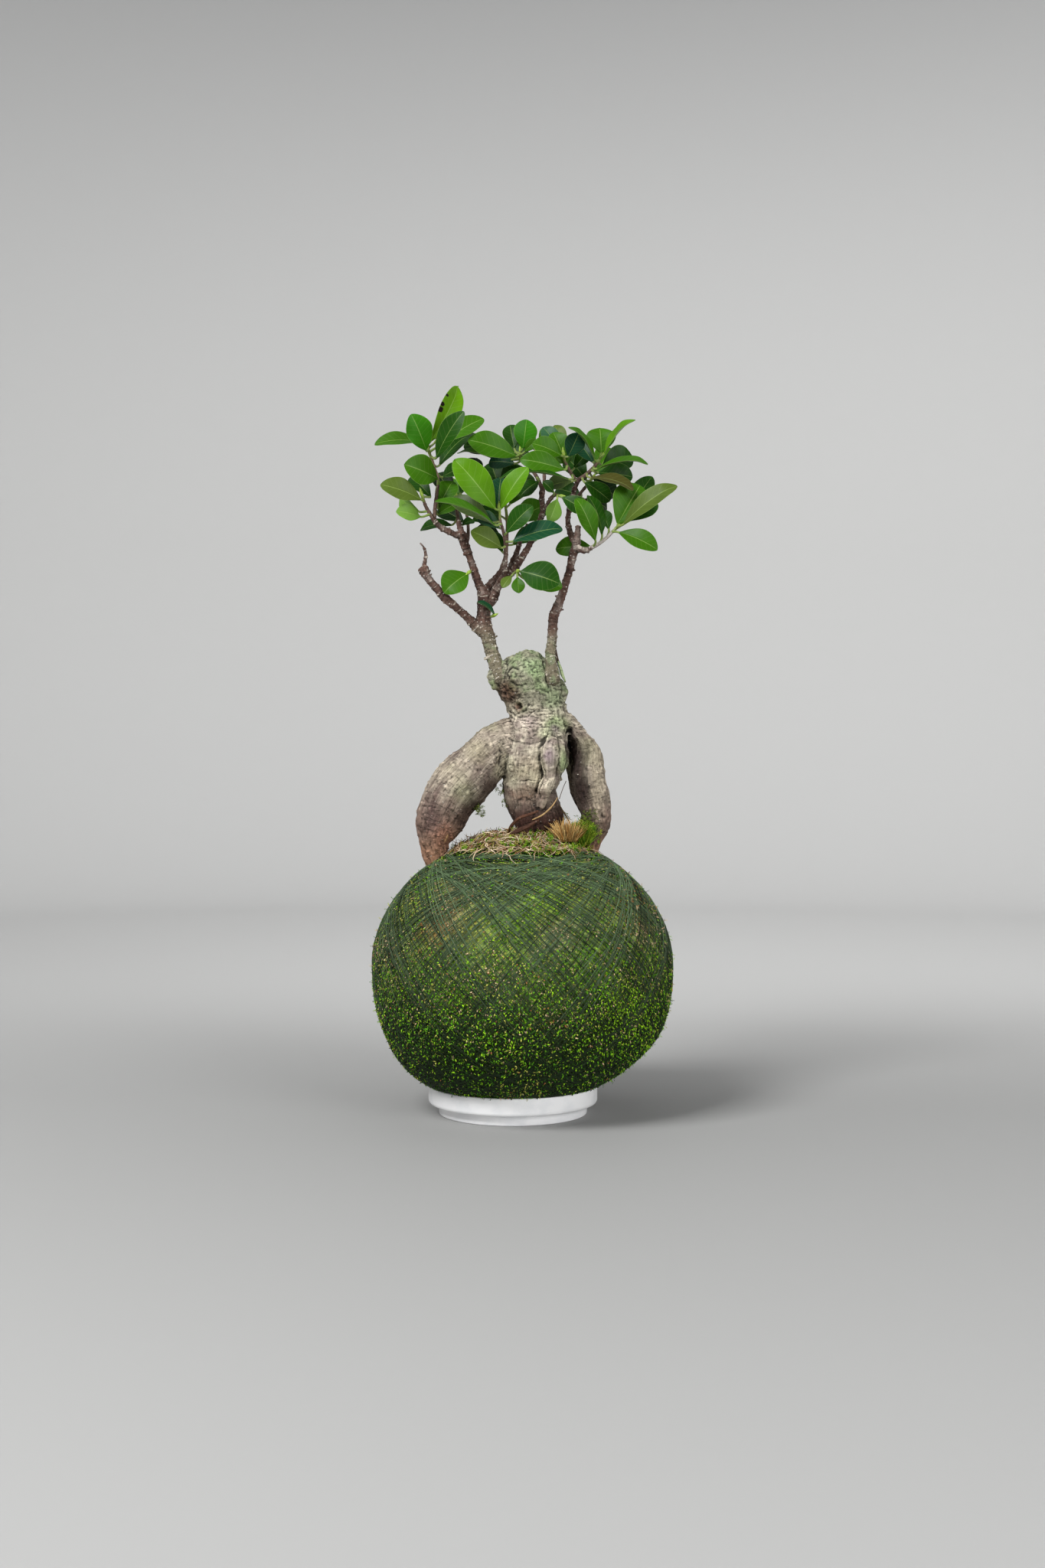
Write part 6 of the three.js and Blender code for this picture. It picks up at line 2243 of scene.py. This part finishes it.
SPRAYS: dict[str, Twig] = {
    "spray_top_left": Twig((
        (-52.5, 396, -16, 1.4), (-52, 404, -14, 1.3), (-51, 412, -12, 1.2), (-50, 422, -10, 1.1),
        (-53, 432, -9, 1), (-56, 441, -8, 1), (-57, 446, -8, 0.9),
    ), (
        Leaf(0.97, (-60, 447), (-92.5, 446), 15, (-9, -13), 44, Tone.MID),
        Leaf(0.92, (-58, 442), (-68, 466), 18, (-14, -26), 12, Tone.FRESH),
        Leaf(1, (-55, 448), (-36, 485), 16, (-9, 2), -30, Tone.LIME),
        Leaf(0.84, (-51, 437), (-33, 468), 14.5, (-15, -27), 18, Tone.DARK),
        Leaf(0.9, (-46, 447), (-19.5, 463), 15, (-7, 0), 22, Tone.MID),
        Leaf(0.72, (-49, 432), (-30, 452), 14, (3, 16), 30, Tone.DARK),
        Leaf(0.95, (-51, 449), (-38, 474), 13, (6, 20), 10, Tone.DEEP),
        Leaf(0.8, (-46, 440), (-24, 453.5), 12, (14, 28), 45, Tone.DARK),
        Leaf(0.46, (-50.5, 423), (-72.5, 432.5), 20, (-15, -30), 10, Tone.MID),
        Leaf(0.3, (-49.5, 403), (-40, 421.5), 15, (-7, 0), 12, Tone.MID),
        Leaf(0.6, (-47, 424), (-33, 430), 12, (-5, 0), 25, Tone.DARK),
        Leaf(0.16, (-50, 399), (-38, 406), 9, (-11, -4), 15, Tone.MID),
    )),
    "spray_left": Twig((
        (-53.5, 396.5, -17, 1.4), (-58, 404, -18, 1.2), (-60.5, 411, -19, 1),
    ), (
        Leaf(0.8, (-61.5, 409), (-88.5, 419), 16, (-22, -31), 24, Tone.OLIVE),
        Leaf(1, (-55, 411), (-68.5, 424.5), 12, (-17, -6), 12, Tone.DARK),
        Leaf(0.35, (-63, 401), (-76, 412), 14, (-17, -8), -48, Tone.PALE),
        Leaf(0.2, (-62, 397.5), (-78, 401), 12, (-22, -31), 20, Tone.PALE),
    )),
    "spray_upper_left": Twig((
        (-36.2, 392, -6, 1.5), (-36.6, 396, -4, 1.3), (-37.5, 402, 0, 1.2), (-38, 410, 5, 1),
    ), (
        Leaf(0.25, (-41, 392), (-62, 389), 12, (2, 8), 45, Tone.DARK),
        Leaf(0.2, (-34, 392), (-26, 395), 7, (0, 5), 30, Tone.DARK),
        Leaf(1, (-35, 413), (-24, 437), 16, (10, 24), 5, Tone.DARK),
        Leaf(0.9, (-41, 411), (-50, 427), 14, (12, 24), 5, Tone.DEEP),
    )),
    "leaf_low_left": Twig((
        (-26.5, 363, -5, 1.1), (-28.5, 361, -7, 0.9),
    ), (
        Leaf(1, (-30, 359.5), (-46, 347), 19, (-8, -14), 18, Tone.MID),
    )),
    "leaf_small_left": Twig((
        (-18, 330, -3, 0.9), (-14, 331, -6, 0.8),
    ), (
        Leaf(1, (-12, 332), (-23.5, 341), 8, (-7, -10), 62, Tone.TEAL),
    )),
    "spray_front": Twig((
        (-4.8, 372, -16, 1.5), (-5, 380, -19.5, 1.3), (-6.5, 388, -22, 1.1), (-8.5, 395, -24, 1),
        (-9, 402, -25, 0.9),
    ), (
        Leaf(1, (-12, 403), (-39, 436), 21, (-29, -38), 10, Tone.BRIGHT),
        Leaf(1, (-8, 403), (10, 430.5), 15, (-26, -31), 25, Tone.BRIGHT),
        Leaf(0.7, (-12, 392), (-52, 408), 16, (-31, -44), 66, Tone.MID),
        Leaf(0.75, (-15, 394), (-42, 410), 14, (-20, -14), 20, Tone.GREY),
        Leaf(0.45, (-4, 387), (13, 405), 14, (-24, -30), 15, Tone.DARK),
        Leaf(0.2, (-8, 377), (-28, 388), 14, (-23, -30), 15, Tone.OLIVE),
        Leaf(0.6, (-9, 390), (-23, 399), 11, (-19, -10), 10, Tone.BLUE),
        Leaf(0.3, (0, 381), (33, 390), 16, (-24, -27), 32, Tone.TEAL),
        Leaf(0.95, (-10, 405), (-8, 424), 12, (-20, -10), 5, Tone.TEAL),
        Leaf(0.15, (-7, 374), (-14, 387), 9, (-8, -1), 10, Tone.DARK),
    )),
    "spray_front_low": Twig((
        (0, 362, -9, 1.3), (2, 361, -14, 1.1), (3, 361, -18, 1),
    ), (
        Leaf(1, (5, 361), (31, 353), 21, (-21, -29), 12, Tone.DARK),
        Leaf(0.55, (8, 356), (33, 350.5), 14, (-11.5, -12), 15, Tone.MID),
        Leaf(0.95, (3, 357), (4, 346.5), 9, (-20, -22), 0, Tone.MID),
        Leaf(0.6, (-1, 358), (-7, 350), 7, (-16, -19), 20, Tone.OLIVE),
    )),
    "spray_top": Twig((
        (19.5, 416, 0, 1.5), (17, 422, 1, 1.3), (14, 427, 2, 1.2), (9.5, 432, 3, 1.1),
        (5, 437, 4, 1), (5, 441, 4, 0.9),
    ), (
        Leaf(0.95, (2, 438), (-30, 449), 18, (0, -8), 14, Tone.MID),
        Leaf(1, (6.5, 443), (9, 462.5), 16, (1, -2), 8, Tone.FRESH),
        Leaf(0.9, (1, 443), (-2, 459), 12, (11, 18), 5, Tone.DARK),
        Leaf(0.92, (8, 441), (16, 449), 7, (0, -3), 10, Tone.MID),
        Leaf(0.8, (1, 433), (-16, 434), 14, (9, 16), 20, Tone.TEAL),
        Leaf(0.85, (-10, 435), (-37, 441), 12, (17, 24), 62, Tone.MID),
        Leaf(0.97, (-5, 441), (-33, 445), 14, (20, 30), 15, Tone.DARK),
        Leaf(0.3, (17, 421), (5, 411.5), 12.5, (-3, -6), 25, Tone.DARK),
        Leaf(0.55, (9, 429), (-8, 424), 14, (12, 20), 15, Tone.DARK),
    )),
    "spray_top_right": Twig((
        (43, 420.5, 5.5, 1.5), (40.5, 424, 4, 1.3), (38.5, 427, 3, 1.2), (36.5, 431, 2, 1.1),
        (34.5, 435, 1, 1), (34, 438, 0, 0.9),
    ), (
        Leaf(1, (32, 438.5), (13, 446.5), 15, (-4, -10), 20, Tone.MID),
        Leaf(0.8, (35.5, 432), (26.8, 454), 16, (4, 7), 8, Tone.MID),
        Leaf(0.65, (34, 429), (5, 436), 15, (-7, -14), 10, Tone.MID),
        Leaf(0.3, (37.5, 422.5), (-9, 425), 12, (-13, -21), 66, Tone.DARK),
        Leaf(1, (32, 441), (20, 457.5), 12, (11, 16), 10, Tone.BLUE),
        Leaf(1, (34, 442), (28, 459), 11, (17, 22), 0, Tone.OLIVE),
        Leaf(0.97, (37, 438), (44, 453.5), 14, (0, -4), -10, Tone.TEAL),
        Leaf(0.45, (41, 430), (50, 440), 10, (19, 24), 10, Tone.DARK),
        Leaf(0.1, (39, 421), (22.5, 417), 12, (-1, -3), 30, Tone.GREY),
    )),
    "spray_right_top": Twig((
        (44.5, 422.5, 6.5, 1.5), (48, 425, 6.5, 1.4), (52, 428.5, 6, 1.3), (56, 433, 5, 1.1),
        (58.5, 437, 4, 1),
    ), (
        Leaf(0.9, (55, 435.5), (38, 458), 15, (-5, -12), 70, Tone.MID),
        Leaf(0.8, (53.5, 434), (44, 447), 12, (11, 17), 5, Tone.TEAL),
        Leaf(1, (59, 440), (58, 457), 20, (2, 4), 5, Tone.MID),
        Leaf(1, (61, 439.5), (81, 463), 16, (-2, -8), 70, Tone.BRIGHT),
        Leaf(0.6, (56, 429.5), (90, 434), 15, (-7, -16), 66, Tone.MID),
        Leaf(0.85, (60, 432), (80, 438), 19, (11, 17), 12, Tone.DARK),
        Leaf(0.5, (57, 427), (80, 424), 15, (-2, 3), 8, Tone.DARK),
        Leaf(0.3, (52, 423.5), (80.5, 416), 14, (-9, -20), 50, Tone.BROWN),
        Leaf(0.1, (48, 420.5), (65, 408), 13, (2, 6), 10, Tone.DARK),
        Leaf(0.4, (54, 423), (68, 411), 14, (16, 26), 10, Tone.DEEP),
    )),
    "spray_mid_right": Twig((
        (24.5, 409, -7, 1.4), (28, 412, -9.5, 1.2), (31, 411.5, -11, 1),
    ), (
        Leaf(1, (33, 410.5), (50, 400), 12, (-13, -17), 10, Tone.DARK),
        Leaf(0.8, (29.5, 409), (24, 394), 11, (-14, -18), -20, Tone.PALE),
        Leaf(0.5, (27, 414), (20, 421), 8, (-14, -19), 20, Tone.DARK),
    )),
    "spray_right": Twig((
        (51.5, 376.5, -9.5, 1.6), (57, 379.3, -12, 1.3), (62, 383, -13, 1.2), (66, 387, -14, 1.1),
        (70, 391, -15, 1),
    ), (
        Leaf(1, (70, 392.5), (85, 418.5), 25, (-16, -9), 4, Tone.MID),
        Leaf(1, (74, 392.5), (109, 419), 15, (-22, -34), 32, Tone.OLIVE),
        Leaf(0.95, (75, 397), (93, 424.5), 14, (-7, 1), 8, Tone.DARK),
        Leaf(0.9, (78, 395), (97, 406), 11, (-12, -10), 10, Tone.DARK),
        Leaf(0.6, (64, 389.5), (59, 402), 10, (-11, -8), 15, Tone.DARK),
        Leaf(0.12, (55, 382), (42.5, 410), 14, (-18, -26), 20, Tone.MID),
        Leaf(0.35, (59.5, 385.5), (50, 412), 13, (-13, -11), 45, Tone.DARK),
        Leaf(0.8, (71, 387), (96.5, 375.5), 15, (-20, -29), 22, Tone.MID),
        Leaf(0.05, (52, 377.5), (28.5, 376), 14, (1, 9), 12, Tone.MID),
    )),
    "spray_back_left": Twig((
        (-31.5, 378, -7, 1.6), (-30, 385, 5, 1.3), (-30, 392, 14, 1.1), (-31, 400, 24, 1),
        (-32, 405, 30, 0.9),
    ), (
        Leaf(1, (-30, 407), (-16, 427), 16, (33, 44), 0, Tone.DARK),
        Leaf(1, (-34, 406), (-48, 421), 16, (34, 45), 5, Tone.MID),
        Leaf(0.6, (-27, 395), (-10, 399), 15, (20, 32), 15, Tone.DARK),
        Leaf(0.6, (-33, 394), (-50, 403), 14, (20, 33), 15, Tone.DEEP),
    )),
    "spray_back_middle": Twig((
        (-8, 361, 14, 1.8), (-5, 371, 25, 1.4), (-4, 384, 34, 1.2), (-4, 396, 40, 1.1),
        (-5, 405, 44, 1),
    ), (
        Leaf(1, (-6, 408), (-15, 434), 20, (46, 56), 0, Tone.DARK),
        Leaf(0.97, (-2, 406), (11, 427), 18, (47, 58), 5, Tone.MID),
        Leaf(0.8, (-8, 398), (-32, 411), 18, (45, 57), 12, Tone.DARK),
        Leaf(0.75, (0, 394), (22, 405), 18, (43, 55), 12, Tone.MID),
        Leaf(0.5, (-8, 383), (-26, 388), 15, (38, 50), 20, Tone.DEEP),
        Leaf(0.45, (0, 379), (17, 387), 14, (36, 48), 20, Tone.DARK),
    )),
    "spray_back_right": Twig((
        (37.8, 402, 2, 1.5), (40, 407, 12, 1.3), (44, 412, 22, 1.2), (49, 418, 32, 1.1),
        (53, 423, 39, 1),
    ), (
        Leaf(1, (55, 426), (67, 443), 18, (42, 52), 5, Tone.MID),
        Leaf(0.95, (49, 422), (36, 437), 16, (42, 52), 5, Tone.DARK),
        Leaf(0.9, (56, 420), (77, 426), 16, (39, 50), 15, Tone.MID),
        Leaf(0.6, (45, 411), (29, 416), 15, (32, 44), 20, Tone.DARK),
        Leaf(0.5, (48, 409), (63, 403), 14, (28, 40), 20, Tone.DEEP),
    )),
    "spray_back_top": Twig((
        (19.2, 408, -1.5, 1.3), (20.3, 415, 5.5, 1.3), (21, 424, 10, 1.2), (20, 430, 17, 1.1),
        (18, 436, 25, 1), (16.5, 440, 30, 0.9),
    ), (
        Leaf(1, (14.5, 442.5), (3, 457), 16, (33, 43), 5, Tone.DARK),
        Leaf(1, (18, 443), (28, 455), 15, (34, 44), 5, Tone.MID),
        Leaf(0.85, (13, 436), (-9, 442), 16, (32, 44), 15, Tone.DARK),
        Leaf(0.7, (21, 433), (39, 440), 15, (26, 38), 15, Tone.MID),
    )),
}


@dataclass
class Spray:
    """The leaves and the shoot of one solid.

    Attributes:
        name: The solid that it stands for.
        twig: Its rows.
        seed: What its draws start from.
        wood: The colour of the shoot's bark.
    """

    name: str
    twig: Twig
    seed: int
    wood: str = "6B564B"

    def build(self, skin: Material, bark: Material) -> None:
        """Adds the leaves, and the shoot with a pointed bud at its end.

        Args:
            skin: The leaves' finish.
            bark: The shoot's finish.
        """
        rng = np.random.default_rng(self.seed)
        line = course(self.twig.shoot, 8)
        gone = travelled(line[:, :3])
        rows = self.twig.leaves
        places = np.array([leaf.place for leaf in rows]) * gone[-1]
        start = np.stack([np.interp(places, gone, line[:, k]) for k in range(3)], axis=1)
        foot, tip = (
            seen(
                [getattr(leaf, end)[0] for leaf in rows],
                [getattr(leaf, end)[1] for leaf in rows],
                [leaf.depths[k] for leaf in rows],
            )
            for k, end in enumerate(("base", "tip"))
        )
        width = np.array([leaf.width for leaf in rows])
        turn = np.array([leaf.turn for leaf in rows])
        tints = np.array([colour(leaf.tone.value) for leaf in rows])
        tints = tints * rng.uniform(0.9, 1.1, (len(rows), 1))
        blades = Blade().leaves(start, foot, tip, width, turn, tints, rng)
        add_piece(f"{self.name}_leaves", blades, skin, self.name)
        way = unit(line[-1, :3] - line[-4, :3])
        reach = np.array([1.2, 2.8, 4.2, 5.4])[:, None]
        bud = line[-1, :3] + reach * (way + 0.15 * UP)
        path = np.vstack([line[:, :3], bud])
        share = travelled(path) / gone[-1]
        thick = np.concatenate([line[:, 3] * 0.92, [1.25, 1.0, 0.6, 0.12]])
        nodes = 1 + 0.16 * np.sin(share * gone[-1] * 2.1 + self.seed) ** 8
        sides = 16
        shoot = tubes(path[None], (thick * nodes)[None], sides, BACK + 0.01, reach=0.3)
        tint = blend(colour(self.wood), "7E9440", ease(0.72, 0.97, share))
        tint = blend(tint, "9CB84C", ease(0.98, 1.05, share))
        tint = np.vstack([np.repeat(tint, sides, axis=0), tint[:1], tint[-1:]])
        shoot.flow = ringed(share * gone[-1], (thick * nodes)[:, None], sides)
        add_piece(f"{self.name}_shoot", shoot.tinted(tint), bark, self.name)


# ------------------------------------------------------------------ studio


@dataclass
class Studio:
    """A pale floor that rises into a wall, paler outwards as painted light on the wall, with soft
    lights and the camera.

    Attributes:
        flat: Radius of the level floor, in metres.
        cove: Radius of the bend from floor to wall.
        height: Height of the wall.
    """

    flat: float = 1.9
    cove: float = 0.7
    height: float = 3.4

    def room(self) -> None:
        """The floor and its wall in one surface, open at the top."""
        angle = np.linspace(0, np.pi / 2, 16)
        bend = np.stack([self.flat + self.cove * np.sin(angle),
                         self.cove - self.cove * np.cos(angle)], axis=1)
        wall = [(self.flat + self.cove, self.height)]
        inside = np.vstack([(0, 0), (self.flat, 0), bend[1:], wall])
        outside = inside[::-1] + (0.02, -0.02)
        outside[-1, 0] = 0
        shape = turned(np.vstack([outside[::-1], inside[::-1]]) / MM, 96)
        away = np.hypot(*shape.points[:, :2].T) * MM
        # Painted light: paler outwards, so the wall looks more brightly lit than the floor round
        # the plant.
        shape.tinted(blend("9E9E9D", "CACAC9", ease(0.3, self.flat + 0.3, away)))
        pen = Pen("pale_floor", Specular_IOR_Level=0.2)
        material = pen.done(pen.attribute("tint"), 0.7)
        room = bpy.data.objects.new("studio_floor", shape.mesh("studio_floor"))
        bpy.context.scene.collection.objects.link(room)
        room.data.materials.append(material)

    def lamp(
        self,
        name: str,
        at: tuple[float, float, float],
        size: float,
        power: float,
        aim: tuple[float, float, float] = (0, 0, 0.24),
        spread: float = 180,
    ) -> None:
        """A soft square lamp.

        Args:
            name: The lamp's name.
            at: Where it hangs, in metres.
            size: Its side, in metres.
            power: In watts.
            aim: What it looks at: the middle of the plant, if nothing else is given.
            spread: How widely its light fans out, in degrees.
        """
        data = bpy.data.lights.new(name, "AREA")
        data.size, data.energy, data.spread = size, power, math.radians(spread)
        lamp = bpy.data.objects.new(name, data)
        lamp.location = at
        lamp.rotation_euler = (Vector(aim) - lamp.location).to_track_quat("-Z", "Y").to_euler()
        lamp.visible_camera = False
        bpy.context.scene.collection.objects.link(lamp)

    def camera(self) -> None:
        """A level camera in front of the plant."""
        data = bpy.data.cameras.new("front")
        data.lens, data.sensor_width, data.sensor_fit = 39.43, 36, "AUTO"
        data.clip_start, data.clip_end = 0.05, 20
        camera = bpy.data.objects.new("front", data)
        camera.location = EYE * MM
        camera.rotation_euler = (math.radians(90), 0, 0)
        bpy.context.scene.collection.objects.link(camera)
        bpy.context.scene.camera = camera

    def build(self) -> None:
        """Adds the room, its lights and the camera."""
        self.room()
        self.lamp("key", (-1.0, -1.2, 1.65), 0.8, 47)
        self.lamp("fill", (1.35, -1.8, 0.75), 1.1, 11.5, spread=120)
        self.lamp("wall", (0.4, 0.8, 1.2), 1.8, 14, (0.6, 2.6, 0.0))
        world = bpy.data.worlds.new("pale_air")
        world.use_nodes = True
        world.node_tree.nodes["Background"].inputs["Color"].default_value = (0.97, 0.98, 1.0, 1)
        world.node_tree.nodes["Background"].inputs["Strength"].default_value = 0.42
        bpy.context.scene.world = world
        bpy.context.scene.view_settings.view_transform = "Standard"
        self.camera()


def main() -> None:
    """Builds the kokedama piece by piece, then the studio round it."""
    logging.basicConfig(level=logging.INFO, format="%(name)s %(message)s")
    form = BallForm()
    Saucer().build()
    MossBall(form).build()
    Dressing(form).build()
    Trunk().build()
    Branch("branch_left", LEFT_BRANCH, 322, "", 16, 5).build()
    Branch("branch_right", RIGHT_BRANCH, 318, "lower twig", 12, 6).build()
    skin = LeafSkin().material()
    bark = Bark("shoot_bark", 4, 1.5, "DAD2C4", 0.34, 0.25, 0.3).material()
    for seed, (name, twig) in enumerate(SPRAYS.items()):
        spray = Spray(name, twig, seed + 70)
        if name == "spray_right":
            spray.wood = "B3ABA2"
        spray.build(skin, bark)
    Studio().build()


if __name__ == "__main__":
    main()
